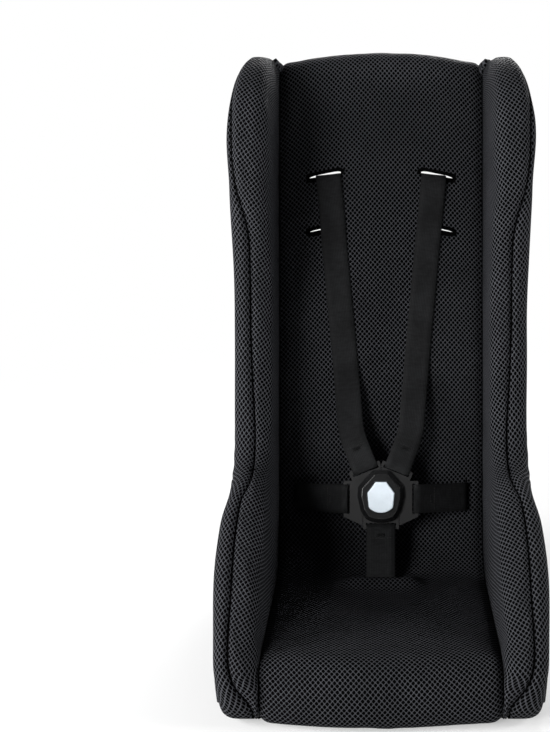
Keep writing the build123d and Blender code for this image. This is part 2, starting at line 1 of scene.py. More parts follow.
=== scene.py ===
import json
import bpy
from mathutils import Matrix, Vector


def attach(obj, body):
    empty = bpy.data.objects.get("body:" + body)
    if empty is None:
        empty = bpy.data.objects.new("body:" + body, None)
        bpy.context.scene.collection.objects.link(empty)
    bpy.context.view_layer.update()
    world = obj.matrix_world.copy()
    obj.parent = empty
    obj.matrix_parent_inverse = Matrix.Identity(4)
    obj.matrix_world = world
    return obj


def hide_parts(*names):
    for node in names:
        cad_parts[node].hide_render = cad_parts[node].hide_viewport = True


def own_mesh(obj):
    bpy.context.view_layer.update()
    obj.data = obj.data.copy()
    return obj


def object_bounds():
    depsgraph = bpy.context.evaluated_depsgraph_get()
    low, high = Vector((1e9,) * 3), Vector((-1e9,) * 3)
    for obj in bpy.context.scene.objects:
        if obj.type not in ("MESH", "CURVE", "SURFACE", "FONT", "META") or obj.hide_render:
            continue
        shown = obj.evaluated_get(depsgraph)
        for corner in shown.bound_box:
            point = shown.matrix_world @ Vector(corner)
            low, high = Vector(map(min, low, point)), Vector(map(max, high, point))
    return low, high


bl_info = {
    "name": "Child Bike Seat",
    "version": (1, 0, 0),
    "blender": (4, 5, 0),
    "location": "View3D > Sidebar > Child Seat",
    "description": "Mesh cover, webbing harness and finishes of a child bike seat around its CAD frame",
    "category": "Object",
}

from bisect import bisect_right
from math import asin, atan2, cos, exp, hypot, pi, radians, sin, sqrt, tan

import bpy
from mathutils import Vector, noise

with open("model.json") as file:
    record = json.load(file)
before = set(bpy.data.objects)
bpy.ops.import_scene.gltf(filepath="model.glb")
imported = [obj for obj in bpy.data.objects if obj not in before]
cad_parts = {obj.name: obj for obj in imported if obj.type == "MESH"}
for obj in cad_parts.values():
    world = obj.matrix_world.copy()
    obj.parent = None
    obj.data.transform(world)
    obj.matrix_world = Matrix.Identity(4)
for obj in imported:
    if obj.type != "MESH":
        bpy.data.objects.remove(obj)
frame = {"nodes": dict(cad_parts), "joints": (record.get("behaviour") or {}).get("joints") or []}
cad_low, cad_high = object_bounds()


# Sizes and colours


def length(name, description, default):
    return bpy.props.FloatProperty(
        name=name, description=description, default=default, min=0.0, unit="LENGTH", precision=4
    )


def angle(name, description, default):
    return bpy.props.FloatProperty(
        name=name, description=description, default=radians(default), subtype="ANGLE"
    )


def share(name, description, default):
    return bpy.props.FloatProperty(
        name=name, description=description, default=default, min=0.0, max=1.0, subtype="FACTOR"
    )


def power(name, description, default):
    return bpy.props.FloatProperty(
        name=name, description=description, default=default, min=0.0, unit="POWER"
    )


def lens_shift(name, description, default):
    return bpy.props.FloatProperty(name=name, description=description, default=default)


def colour(name, description, default):
    return bpy.props.FloatVectorProperty(
        name=name, description=description, default=default, size=3, min=0.0, max=1.0, subtype="COLOR"
    )


class SeatBucketSizes(bpy.types.PropertyGroup):
    recline: angle("Recline", "Lean of the back from upright", 16)
    pan_rise: angle("Pan rise", "Rise of the pan towards its front", 4)
    back_length: length("Back length", "Up the back from the crease, in the middle", 0.518)
    back_thickness: length("Back thickness", "Front to rear of the back", 0.044)
    pan_length: length("Pan length", "Crease to lip, in the middle", 0.250)
    crease_height: length("Crease height", "Crease of back and pan above the floor", 0.040)
    crease_round: length("Crease round", "Hollow between back and pan", 0.055)
    heel_reach: length("Heel reach", "Crease to the upright rear of the heel", 0.070)
    heel_round: length("Heel round", "Rounding of the heel", 0.016)
    knee_round: length("Knee round", "Turn from the heel into the leaning rear", 0.080)
    lip_round: length("Lip round", "Front roll of the pan", 0.032)
    toe_round: length("Toe round", "Lower front edge", 0.012)
    top_round: length("Top round", "Edges of the top of the back", 0.019)
    lip_bow: length("Lip bow", "How far the lip falls back at the bolsters", 0.009)
    top_arch: length("Top arch", "How far the top edge falls at the bolsters", 0.010)
    centre_width: length("Centre width", "Back and pan between the bolsters", 0.204)
    bolster_step: length("Bolster step", "Bolsters inside the rear and base of the centre", 0.001)
    inner_round: length("Inner round", "Bolster edge towards the middle", 0.0138)
    inner_lean: length("Inner lean", "How far a bolster's inner wall leans out", 0.0030)
    outer_round: length("Outer round", "Bolster edge towards the outside", 0.0135)


class SeatCoverSizes(bpy.types.PropertyGroup):
    thickness: length("Thickness", "Padded mesh cloth", 0.004)
    grain: length("Grain", "Distance between the points that shape a panel", 0.0065)
    tuck: length("Tuck", "How deep a panel's edge is drawn into a seam", 0.0045)
    puff: length("Puff", "How far the cloth may rise between its seams", 0.0026)
    crumple: length("Crumple", "Height of the folds where the hip meets the wing", 0.0022)
    hole_pitch: length("Hole pitch", "Hole to hole along a row of the mesh", 0.00445)
    row_pitch: length("Row pitch", "Every second row of the mesh", 0.00508)
    hem_top: length("Hem top", "Rear hem below the top of the back", 0.033)
    hem_front: length("Hem front", "Base hem behind the lip", 0.038)
    hem_side: length("Hem side", "Hem binding from the middle plane", 0.104)
    binding_width: length("Binding width", "Tape over the open edge of the cover", 0.0085)


class SeatHarnessSizes(bpy.types.PropertyGroup):
    webbing: length("Webbing", "Thickness of the webbing", 0.0014)
    shoulder_width: length("Shoulder width", "Width of the shoulder straps", 0.025)
    hip_width: length("Hip width", "Width of the hip and crotch straps", 0.028)
    slot_gap: length("Slot gap", "Open height of a harness slot", 0.006)
    slit: length("Slit", "Opening over the webbing in a shoulder slot", 0.0013)
    slit_reach: length("Slit reach", "Half length of a shoulder slot's opening", 0.0160)
    # Painted shade: width of the shaded band painted round a shoulder slot
    slit_shade_band: length("Slit band", "Sewn-down cloth round a shoulder slot", 0.0040)
    shoulder_x: length("Shoulder slots", "Shoulder slots from the middle plane", 0.056)
    upper_slot: length("Upper slots", "Upper shoulder slots up the back", 0.391)
    lower_slot: length("Lower slots", "Lower shoulder slots up the back", 0.337)
    hip_x: length("Hip slots", "Hip slots from the middle plane", 0.086)
    crotch_run: length("Crotch slot", "Crotch slot along the pan from the crease", 0.049)
    pocket_depth: length("Pocket depth", "Anchor pockets in the rear of the shell", 0.014)
    rod_radius: length("Rod radius", "Anchor rods", 0.003)
    rod_play: length("Rod play", "Webbing from its rod", 0.00015)
    rod_drop: length("Rod drop", "Shoulder rods below their slots", 0.025)
    slot_climb: angle("Slot climb", "Shoulder slots climb to the rear", 10)
    slot_turn: angle("Slot turn", "Shoulder slots turned further than their straps", 6)
    lip_room: length("Lip room", "Webbing over the lower lip of its slot", 0.0015)
    strap_shift: length("Strap shift", "Shoulder webbing lies this far to the inner end of its slot", 0.0030)
    bar_turn: angle("Bar turn", "Shoulder bars turned from level", 22)
    bend_rise: length("Bend rise", "Shoulder straps turn in this far above their bars", 0.036)
    buckle_height: length("Buckle height", "Middle of the buckle up the back", 0.072)
    buckle_depth: length("Buckle depth", "Middle of the tongues in front of the back", 0.030)
    bar_x: length("Shoulder bars", "Shoulder bars from the middle plane", 0.016)
    bar_rise: length("Bar rise", "Shoulder bars above the middle of the buckle", 0.028)
    hip_bar_x: length("Hip bars", "Hip bars from the middle plane", 0.035)
    hip_drop: length("Hip drop", "Hip straps below the middle of the buckle", 0.002)
    crotch_drop: length("Crotch drop", "Crotch bar below the middle of the buckle", 0.030)
    bar_round: length("Bar round", "Half thickness of a bar, with its play", 0.00222)


class SeatColours(bpy.types.PropertyGroup):
    yarn: colour("Yarn", "Threads of the mesh cloth", (0.0470, 0.0483, 0.0540))
    # Painted shade: the colour of the shade deep in the mesh holes
    hole: colour("Hole", "Depth of the mesh holes", (0.0004, 0.0004, 0.0005))
    strap: colour("Strap", "Harness webbing", (0.0112, 0.0117, 0.0125))
    thread: colour("Thread", "Sewing thread", (0.004, 0.004, 0.004))
    binding: colour("Binding", "Tape at slots and hem", (0.0045, 0.0045, 0.0048))
    plastic: colour("Plastic", "Moulded buckle parts", (0.0085, 0.0085, 0.009))
    button: colour("Button", "Release button", (0.75, 0.83, 0.90))
    foam: colour("Foam", "Moulded bead foam", (0.022, 0.022, 0.023))
    steel: colour("Steel", "Rods, screws and spring", (0.56, 0.57, 0.58))
    floor: colour("Floor", "Studio floor", (0.86, 0.86, 0.86))


class SeatStageSizes(bpy.types.PropertyGroup):
    camera_distance: length("Camera distance", "Camera from the face of the back", 1.30)
    camera_height: length("Camera height", "Where the view axis meets the back, up from the crease", 0.181)
    picture_height: length("Picture height", "Height of the picture at the face of the back", 0.732)
    shift_right: lens_shift("Shift right", "Sideways lens shift, in picture heights", -0.1448)
    shift_up: lens_shift("Shift up", "Upward lens shift, in picture heights", 0.026)
    key_power: power("Key power", "Lamp on the left", 50.0)
    front_power: power("Front power", "Lamp in front", 34.0)
    fill_power: power("Fill power", "Other lamps", 25.0)
    sky: share("Sky", "Strength of the even light from all round", 0.08)


# Lines of the bucket

SIDES = (("left", -1), ("right", 1))
ARC_STEP = 0.002  # between the points of a rounding
NEARLY_STRAIGHT = 1.565  # half angle of a corner that needs no rounding
LEVEL_LEAN = radians(22)  # levels are counted along a line that leans this much more than the back

# Half widths of the seat, as (level, half width)
HALF_WIDTHS = (
    (-0.185, 0.1340),
    (-0.110, 0.1425),
    (-0.040, 0.1465),
    (0.003, 0.1448),
    (0.045, 0.1390),
    (0.100, 0.1403),
    (0.188, 0.1402),
    (0.300, 0.1415),
    (0.345, 0.1448),
    (0.388, 0.1407),
    (0.410, 0.1380),
    (0.430, 0.1347),
    (0.450, 0.1305),
    (0.500, 0.1265),
)

# Seams between bolster and side panels, as (level, distance from the middle plane)
SEAMS = (
    (-0.185, 0.1040),
    (-0.168, 0.1070),
    (-0.1485, 0.1220),
    (-0.130, 0.1268),
    (-0.110, 0.1283),
    (-0.073, 0.1290),
    (-0.024, 0.1295),
    (0.023, 0.1270),
    (0.053, 0.1187),
    (0.103, 0.1196),
    (0.156, 0.1225),
    (0.200, 0.1240),
    (0.257, 0.1234),
    (0.275, 0.1262),
    (0.301, 0.1346),
    (0.332, 0.1385),
    (0.379, 0.1390),
    (0.410, 0.1352),
    (0.450, 0.1270),
    (0.500, 0.1225),
)


def smooth(edge_low, edge_high, value):
    """Soft step from 0 at one edge to 1 at the other."""
    t = min(1.0, max(0.0, (value - edge_low) / (edge_high - edge_low)))
    return t * t * (3 - 2 * t)


def curve_through(places, values):
    """Smooth curve through values at rising places that does not overshoot between them."""
    steps = [b - a for a, b in zip(places, places[1:])]
    slants = [(b - a) / step for a, b, step in zip(values, values[1:], steps)]
    slopes = [slants[0]]
    for before, after in zip(slants, slants[1:]):
        slopes.append(0.0 if before * after <= 0 else 2 * before * after / (before + after))
    slopes.append(slants[-1])

    def value(place):
        k = min(max(bisect_right(places, place) - 1, 0), len(steps) - 1)
        t = min(1.0, max(0.0, (place - places[k]) / steps[k]))
        start = (1 + 2 * t) * (1 - t) ** 2 * values[k] + t * (1 - t) ** 2 * steps[k] * slopes[k]
        end = t * t * (3 - 2 * t) * values[k + 1] + t * t * (t - 1) * steps[k] * slopes[k + 1]
        return start + end

    return value


def rounded(before, corner, after, radius):
    """Points of the arc that rounds a corner."""
    back = (before - corner).normalized()
    on = (after - corner).normalized()
    half = back.angle(on) / 2
    if radius <= 0 or half > NEARLY_STRAIGHT:
        return [corner]
    middle = corner + (back + on).normalized() * (radius / sin(half))
    first = corner + back * (radius / tan(half)) - middle
    turn = pi - 2 * half
    if back.x * on.y - back.y * on.x > 0:
        turn = -turn
    count = max(4, int(abs(turn) * radius / ARC_STEP))
    arc = []
    for k in range(count + 1):
        step = turn * k / count
        x = first.x * cos(step) - first.y * sin(step)
        y = first.x * sin(step) + first.y * cos(step)
        arc.append(middle + Vector((x, y)))
    return arc


class SideLine:
    """A line through rounded corners (point, radius), measured along its length."""

    def __init__(self, *corners):
        corners = [(Vector(point), radius) for point, radius in corners]
        self.points = [corners[0][0]]
        for before, (corner, radius), after in zip(corners, corners[1:], corners[2:]):
            self.points += rounded(before[0], corner, after[0], radius)
        self.points.append(corners[-1][0])
        self.marks = [0.0]
        for a, b in zip(self.points, self.points[1:]):
            self.marks.append(self.marks[-1] + (b - a).length)
        self.length = self.marks[-1]

    def point(self, distance):
        distance = min(max(distance, 0.0), self.length)
        k = min(bisect_right(self.marks, distance), len(self.marks) - 1)
        span = self.marks[k] - self.marks[k - 1]
        part = (distance - self.marks[k - 1]) / span if span else 0.0
        return self.points[k - 1].lerp(self.points[k], part)

    def out(self, distance):
        """Direction square to the line, on the right hand of the way along it."""
        way = self.point(distance + 0.0015) - self.point(distance - 0.0015)
        return Vector((way.y, -way.x)).normalized()

    def nearest(self, point):
        """Distance along the line of its point nearest to the given one."""
        best, found = 1e9, 0.0
        for a, b, mark in zip(self.points, self.points[1:], self.marks):
            span = b - a
            part = min(1.0, max(0.0, (point - a).dot(span) / max(span.length_squared, 1e-12)))
            gap = (a + span * part - point).length
            if gap < best:
                best, found = gap, mark + part * span.length
        return found


class Bucket:
    """Side view and widths of the seat. Side-view points are (y, z) from the crease."""

    def __init__(self):
        self.sizes = sizes = bpy.context.scene.seat_bucket
        self.half = sizes.centre_width / 2
        self.floor = -sizes.crease_height
        self.crease = Vector((0.0, cad_low.y + sizes.pan_length, sizes.crease_height))
        self.ahead = Vector((0.0, -cos(sizes.recline), sin(sizes.recline)))
        self.up = Vector((0.0, sin(sizes.recline), cos(sizes.recline)))
        self.half_width_at = curve_through(*zip(*HALF_WIDTHS))
        self.seam_at = curve_through(*zip(*SEAMS))

    def side(self, ahead, up):
        """Side-view point that far in front of the back and that far up it."""
        lean = self.sizes.recline
        return Vector((-ahead * cos(lean) + up * sin(lean), ahead * sin(lean) + up * cos(lean)))

    def place(self, x, point):
        return Vector((x, point.x + self.crease.y, point.y + self.crease.z))

    def on_back(self, x, up, ahead=0.0):
        return self.place(x, self.side(ahead, up))

    def level(self, point):
        tilt = self.sizes.recline + LEVEL_LEAN
        return point.x * sin(tilt) + point.y * cos(tilt)

    def half_width(self, point):
        return self.half_width_at(self.level(point))

    def seam(self, point):
        return self.seam_at(self.level(point))

    def knee(self, rear, heel):
        """Side-view point where the leaning rear meets the upright heel."""
        lean = self.sizes.recline
        return self.side(rear, (heel + rear * cos(lean)) / sin(lean))

    def centre_line(self, x, hem_top, hem_front):
        """From the rear hem over the top, down the back, along the pan and round the lip to the base hem."""
        s = self.sizes
        fall = (x / self.half) ** 2
        top = s.back_length - s.top_arch * fall
        front = s.lip_bow * fall - s.pan_length
        rear = -s.back_thickness
        return SideLine(
            (self.side(rear, s.back_length - hem_top), 0),
            (self.side(rear, top), s.top_round),
            (self.side(0, top), s.top_round),
            ((0, 0), s.crease_round),
            ((front, -front * tan(s.pan_rise)), s.lip_round),
            ((front, self.floor), s.toe_round),
            ((hem_front - s.pan_length, self.floor), 0),
        )

    def bolster_line(self):
        """Round a bolster: from its top, down wing, waist and armrest, round the toe, base, heel and rear."""
        s = self.sizes
        floor = self.floor + s.bolster_step
        rear = s.bolster_step - s.back_thickness
        heel = s.heel_reach - s.bolster_step
        start = self.side(-0.016, 0.5063)
        return SideLine(
            (start, 0),
            (self.side(0.097, 0.491), 0.075),
            (self.side(0.101, 0.360), 0.090),
            (self.side(0.066, 0.262), 0.150),
            (self.side(0.066, 0.115), 0.045),
            (self.side(0.121, 0.088), 0.100),
            ((-0.242, 0.008), 0.030),
            ((-0.242, floor), 0.021),
            ((heel, floor), s.heel_round),
            (self.knee(rear, heel), s.knee_round),
            (self.side(rear, s.back_length - 0.008), 0.022),
            (start, 0),
        )

    def rear_line(self, hem_top, hem_front):
        """Down the bare rear, round the heel and along the base."""
        s = self.sizes
        rear = -s.back_thickness
        return SideLine(
            (self.side(rear, s.back_length - hem_top), 0),
            (self.knee(rear, s.heel_reach), s.knee_round),
            ((s.heel_reach, self.floor), s.heel_round),
            ((hem_front - s.pan_length, self.floor), 0),
        )


# Meshes


def deselect():
    if bpy.context.object and bpy.context.object.mode != "OBJECT":
        bpy.ops.object.mode_set(mode="OBJECT")
    bpy.ops.object.select_all(action="DESELECT")


def make_active(piece):
    deselect()
    piece.select_set(True)
    bpy.context.view_layer.objects.active = piece


def add_piece(name, points, faces, uvs=None, gaps=None):
    """Mesh piece from points and faces, with one UV pair per point where a pattern follows it.

    Gaps are the points' distances from the nearest sewn edge, along which the cloth is painted in shade.
    """
    mesh = bpy.data.meshes.new(name)
    mesh.from_pydata(points, [], faces)
    if gaps:
        layer = mesh.attributes.new("Seam", "FLOAT", "POINT")
        layer.data.foreach_set("value", gaps)
    if uvs:
        layer = mesh.uv_layers.new(name="Cloth")
        for loop in mesh.loops:
            layer.data[loop.index].uv = uvs[loop.vertex_index]
    mesh.validate()
    piece = bpy.data.objects.new(name, mesh)
    bpy.context.scene.collection.objects.link(piece)
    return piece


def add_panel(name, rows, uvs, flip, slots=()):
    """Open panel from rows of points, sewn at its edges, with its distances from them and from the bands
    round the slots, where shade is painted.
    """
    width = len(rows[0])
    points = [point for row in rows for point in row]
    flat_uvs = [uv for row in uvs for uv in row]
    gaps = []
    for row in rows:
        marks = running_length(row)
        gaps += [min(mark, marks[-1] - mark) for mark in marks]
    for slot in slots:
        gaps = [min(gap, slot.gap_to(point)) for gap, point in zip(gaps, points)]
    faces = []
    for r in range(len(rows) - 1):
        for c in range(width - 1):
            corner = r * width + c
            face = (corner, corner + 1, corner + width + 1, corner + width)
            faces.append(face[::-1] if flip else face)
    return add_piece(name, points, faces, flat_uvs, gaps)


def tube_faces(rings, width, closed):
    """Faces of a tube of rings of points: joined end to start, or with a cap at each end."""
    faces = []
    for r in range(rings if closed else rings - 1):
        n = (r + 1) % rings
        for c in range(width):
            d = (c + 1) % width
            faces.append((r * width + c, r * width + d, n * width + d, n * width + c))
    if not closed:
        faces.append(list(range(width)))
        faces.append([(rings - 1) * width + c for c in reversed(range(width))])
    return faces


def face_outward(piece):
    """Turns all faces of a closed piece outward and leaves it active."""
    make_active(piece)
    bpy.ops.object.mode_set(mode="EDIT")
    bpy.ops.mesh.select_all(action="SELECT")
    bpy.ops.mesh.normals_make_consistent(inside=False)
    bpy.ops.object.mode_set(mode="OBJECT")


def apply_modifier(piece, kind, **settings):
    """Adds a modifier with its settings and applies it."""
    make_active(piece)
    modifier = piece.modifiers.new(kind.title(), kind)
    for setting, value in settings.items():
        setattr(modifier, setting, value)
    bpy.ops.object.modifier_apply(modifier=modifier.name)


def puff_up(piece, width, puff, pressure):
    """Lets a panel rise as cloth between its sewn edges, no point further than the puff allows."""
    frames = 20
    mesh = piece.data
    count = len(mesh.vertices)
    height = count // width
    sewn = [
        i
        for i in range(count)
        if i % width < 2 or i % width >= width - 2 or i // width < 2 or i // width >= height - 2
    ]
    group = piece.vertex_groups.new(name="sewn")
    group.add(sewn, 1.0, "REPLACE")
    cloth = piece.modifiers.new("Cloth", "CLOTH")
    settings = cloth.settings
    settings.quality = 6
    settings.mass = 0.002
    settings.tension_stiffness = 20
    settings.compression_stiffness = 20
    settings.shear_stiffness = 8
    settings.bending_stiffness = 1.5
    settings.vertex_group_mass = "sewn"
    settings.shrink_min = -0.012
    settings.use_pressure = True
    settings.uniform_pressure_force = pressure
    settings.effector_weights.gravity = 0
    cloth.point_cache.frame_start = 1
    cloth.point_cache.frame_end = frames
    scene = bpy.context.scene
    for step in range(1, frames + 1):
        scene.frame_set(step)
    risen = piece.evaluated_get(bpy.context.evaluated_depsgraph_get())
    moved = [v.co.copy() for v in risen.data.vertices]
    piece.modifiers.remove(cloth)
    piece.vertex_groups.remove(group)
    for vertex, place in zip(mesh.vertices, moved):
        move = place - vertex.co
        vertex.co += move * (puff / (move.length + puff))
    scene.frame_set(1)


def sew_panel(piece, width, puff, pressure):
    """Puffs a panel up, smooths it and gives the cloth its thickness."""
    cover = bpy.context.scene.seat_cover
    puff_up(piece, width, puff, pressure)
    apply_modifier(piece, "SUBSURF", levels=1, render_levels=1)
    apply_modifier(piece, "SOLIDIFY", thickness=cover.thickness, offset=-1.0, use_quality_normals=True)
    bpy.ops.object.shade_smooth()


def seat_piece(piece, slot, finish, *nodes):
    """Dresses a piece, fixes it to the seat and lets it stand for its CAD nodes."""
    piece.data.materials.clear()
    piece.data.materials.append(finish)
    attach(piece, "seat")
    if nodes:
        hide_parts(*nodes)
    return piece


def running_length(points):
    """Distances along a row of points."""
    marks = [0.0]
    for a, b in zip(points, points[1:]):
        marks.append(marks[-1] + (b - a).length)
    return marks


def paired(line_a, line_b, pairs):
    """Distances along two lines of the points that belong together."""
    return [line_a.nearest(a) for a, b in pairs], [line_b.nearest(b) for a, b in pairs]


# Finishes


WHITE = (1.0, 1.0, 1.0, 1.0)


class Value:
    """An output socket that takes part in ordinary arithmetic."""

    def __init__(self, nodes, socket):
        self.nodes = nodes
        self.socket = socket

    def math(self, operation, *others):
        return self.nodes.node("ShaderNodeMath", {"operation": operation}, [self, *others])

    def __add__(self, other):
        return self.math("ADD", other)

    __radd__ = __add__

    def __sub__(self, other):
        return self.math("SUBTRACT", other)

    def __rsub__(self, other):
        return self.nodes.node("ShaderNodeMath", {"operation": "SUBTRACT"}, [other, self])

    def __mul__(self, other):
        return self.math("MULTIPLY", other)

    __rmul__ = __mul__

    def step(self, low, high):
        """Soft step between two values."""
        values = {"Value": self, "From Min": low, "From Max": high}
        return self.nodes.node("ShaderNodeMapRange", {"interpolation_type": "SMOOTHSTEP"}, values)

    def wave(self, pitch, kind="SINE"):
        """Wave between -1 and 1 along this value."""
        return (self * (2 * pi / pitch)).math(kind)

    def ripple(self, pitch, kind="SINE"):
        """Wave between 0 and 1 along this value."""
        return self.wave(pitch, kind) * 0.5 + 0.5


class Nodes:
    """The nodes of a finish or of the surroundings."""

    def __init__(self, tree, output):
        self.tree = tree
        self.tree.nodes.clear()
        self.output = self.tree.nodes.new(output)

    def node(self, kind, settings, inputs, output=0):
        """Adds a node: its settings first, then the values or links of its sockets."""
        node = self.tree.nodes.new(kind)
        for setting, value in settings.items():
            setattr(node, setting, value)
        named = inputs.items() if isinstance(inputs, dict) else enumerate(inputs)
        for key, value in named:
            socket = self.find(node.inputs, key)
            if isinstance(value, Value):
                self.tree.links.new(value.socket, socket)
            else:
                socket.default_value = value
        return Value(self, self.find(node.outputs, output))

    @staticmethod
    def find(sockets, key):
        """Socket by its number, its identifier or else its name."""
        if isinstance(key, int):
            return sockets[key]
        return next((s for s in sockets if s.identifier == key), None) or sockets[key]

    def show(self, shader):
        self.tree.links.new(shader.socket, self.output.inputs["Surface"])

    def parts(self, vector):
        split = self.node("ShaderNodeSeparateXYZ", {}, {"Vector": vector}, "X")
        outputs = split.socket.node.outputs
        return split, Value(self, outputs["Y"]), Value(self, outputs["Z"])

    def rays(self):
        """Masks of the rays from the camera, off glossy surfaces and through clear ones."""
        camera = self.node("ShaderNodeLightPath", {}, {}, "Is Camera Ray")
        outputs = camera.socket.node.outputs
        return camera, Value(self, outputs["Is Glossy Ray"]), Value(self, outputs["Is Transmission Ray"])


class Finish(Nodes):
    """A node material for one kind of surface."""

    def __init__(self, name, **constants):
        self.material = bpy.data.materials.new(name)
        self.material.use_nodes = True
        super().__init__(self.material.node_tree, "ShaderNodeOutputMaterial")
        values = {socket.replace("_", " "): value for socket, value in constants.items()}
        self.surface = self.node("ShaderNodeBsdfPrincipled", {}, values, "BSDF")
        self.show(self.surface)

    def feed(self, socket, value):
        self.tree.links.new(value.socket, self.surface.socket.node.inputs[socket])

    def place(self):
        return self.node("ShaderNodeTexCoord", {}, {}, "Object")

    def cloth_place(self, turn=0.0, stretch=(1.0, 1.0)):
        """Place on the piece's own UV map, in metres, turned and stretched."""
        flat = self.node("ShaderNodeUVMap", {"uv_map": "Cloth"}, {})
        values = {"Vector": flat, "Rotation": (0, 0, turn), "Scale": (stretch[0], stretch[1], 1)}
        return self.node("ShaderNodeMapping", {}, values)

    def noise(self, vector, scale, detail=2.0, roughness=0.5):
        values = {"Vector": vector, "Scale": scale, "Detail": detail, "Roughness": roughness}
        return self.node("ShaderNodeTexNoise", {}, values, "Fac")

    def mix(self, factor, first, second):
        """Colour between two colours."""
        first = first if isinstance(first, Value) else (*first, 1.0)
        second = second if isinstance(second, Value) else (*second, 1.0)
        values = {"Factor_Float": factor, "A_Color": first, "B_Color": second}
        return self.node("ShaderNodeMix", {"data_type": "RGBA"}, values, "Result_Color")

    def bump(self, height, strength, distance):
        values = {"Height": height, "Strength": strength, "Distance": distance}
        self.feed("Normal", self.node("ShaderNodeBump", {}, values, "Normal"))


def tinted(base, factor):
    return tuple(min(1.0, channel * factor) for channel in base)


def mesh_cloth(name, turn, stretch, drawn_open=None):
    """Spacer mesh: a net of holes in staggered rows between ribs of black yarn, the holes painted near black
    as the shade deep in them.

    From a given distance along the cloth it can be drawn open a little more.
    """
    colours = bpy.context.scene.seat_colours
    cover = bpy.context.scene.seat_cover
    finish = Finish(name, Specular_IOR_Level=0.03)
    flat = finish.cloth_place(turn, stretch)
    drift = finish.node("ShaderNodeTexNoise", {}, {"Vector": flat, "Scale": 70.0, "Detail": 1.0}, "Color")
    centred = finish.node("ShaderNodeVectorMath", {"operation": "SUBTRACT"}, [drift, (0.5, 0.5, 0.5)])
    small = finish.node("ShaderNodeVectorMath", {"operation": "SCALE"}, {0: centred, "Scale": 0.0012})
    wavering = finish.node("ShaderNodeVectorMath", {"operation": "ADD"}, [flat, small])
    across, along, _ = finish.parts(wavering)
    column = across.wave(cover.hole_pitch, "COSINE")
    row = along.wave(cover.row_pitch, "COSINE")
    depth = ((column + row) * 0.5).math("ABSOLUTE")
    if drawn_open:
        depth = depth + along.step(drawn_open, drawn_open + 0.1) * 0.06
    # Painted shade: this mask paints the holes in the hole colour, the shade deep in them
    hole = depth.step(0.24, 0.50)
    rib = depth.step(0.0, 0.35)
    fibre_pitch = 0.0009
    fibre = (across + along).ripple(fibre_pitch)
    cross_fibre = (across - along).ripple(fibre_pitch)
    yarn_height = 1 - hole * 0.9 + (1 - rib) * 0.25 + fibre * cross_fibre * 0.12
    soil = finish.noise(finish.place(), 26.0, 3.0, 0.6)
    lit = finish.mix(soil, tinted(colours.yarn, 0.72), tinted(colours.yarn, 1.3))
    ribbed = finish.mix(rib * 0.45, lit, tinted(colours.yarn, 0.55))
    # Painted shade: a near-black band along the sewn edges and round the shoulder slots, for the shade in the
    # seams and slot recesses
    gap = finish.node("ShaderNodeAttribute", {"attribute_name": "Seam"}, {}, "Fac")
    sewn = 1 - (gap + (soil - 0.5) * 0.0008).step(0.0003, 0.0016)
    finish.feed("Base Color", finish.mix((hole + sewn).math("MINIMUM", 1.0), ribbed, colours.hole))
    finish.feed("Roughness", 0.5 + hole * 0.35 + fibre * 0.06)
    finish.bump(yarn_height, 0.9, 0.0009)
    return finish.material


def webbing_cloth(name):
    """Flat woven webbing: fine ribs along it and small diagonal floats across it."""
    colours = bpy.context.scene.seat_colours
    finish = Finish(name, Sheen_Weight=0.02, Sheen_Roughness=0.5, Specular_IOR_Level=0.12)
    across, along, _ = finish.parts(finish.cloth_place())
    rib = across.ripple(0.0016, "COSINE")
    slanting = along + across.wave(0.0032) * 0.0005
    floats = slanting.ripple(0.0013, "COSINE")
    wear = finish.noise(finish.place(), 34.0, 4.0, 0.6)
    weave = rib * 0.55 + floats * 0.45
    blotch = finish.noise(finish.cloth_place(0.0, (0.3, 1.0)), 420.0, 4.0, 0.7)
    uneven = (wear * 0.45 + blotch * 0.55).step(0.36, 0.64)
    dull = finish.mix(uneven, tinted(colours.strap, 0.45), tinted(colours.strap, 1.75))
    selvage = across.math("ABSOLUTE").step(0.0102, 0.0118)
    edged = finish.mix(selvage * 0.5, dull, tinted(colours.strap, 0.5))
    finish.feed("Base Color", finish.mix(weave, tinted(colours.strap, 0.35), edged))
    finish.feed("Roughness", 0.62 + weave * 0.16)
    finish.bump(weave, 0.6, 0.0003)
    return finish.material


def tape_cloth(name):
    """Binding tape with a line of stitches along its middle."""
    colours = bpy.context.scene.seat_colours
    finish = Finish(name, Sheen_Weight=0.02, Specular_IOR_Level=0.12)
    across, along, _ = finish.parts(finish.cloth_place())
    grosgrain = along.ripple(0.0011)
    dash = along.wave(0.0036).step(-0.3, 0.1)
    stitch = (1 - across.math("ABSOLUTE").step(0.00025, 0.00055)) * dash
    wear = finish.noise(finish.place(), 60.0, 3.0)
    plain = finish.mix(wear, tinted(colours.binding, 0.7), tinted(colours.binding, 1.4))
    finish.feed("Base Color", finish.mix(stitch, plain, tinted(colours.thread, 2.2)))
    finish.feed("Roughness", 0.6 + grosgrain * 0.15)
    finish.bump(grosgrain * 0.4 + stitch, 0.6, 0.0003)
    return finish.material


def sewing_thread(name):
    """Twisted polyester thread."""
    colours = bpy.context.scene.seat_colours
    finish = Finish(name, Specular_IOR_Level=0.4)
    fuzz = finish.noise(finish.place(), 900.0, 3.0)
    finish.feed("Base Color", finish.mix(fuzz, tinted(colours.thread, 0.6), tinted(colours.thread, 1.8)))
    finish.feed("Roughness", 0.42 + fuzz * 0.2)
    finish.bump(fuzz, 0.4, 0.0002)
    return finish.material


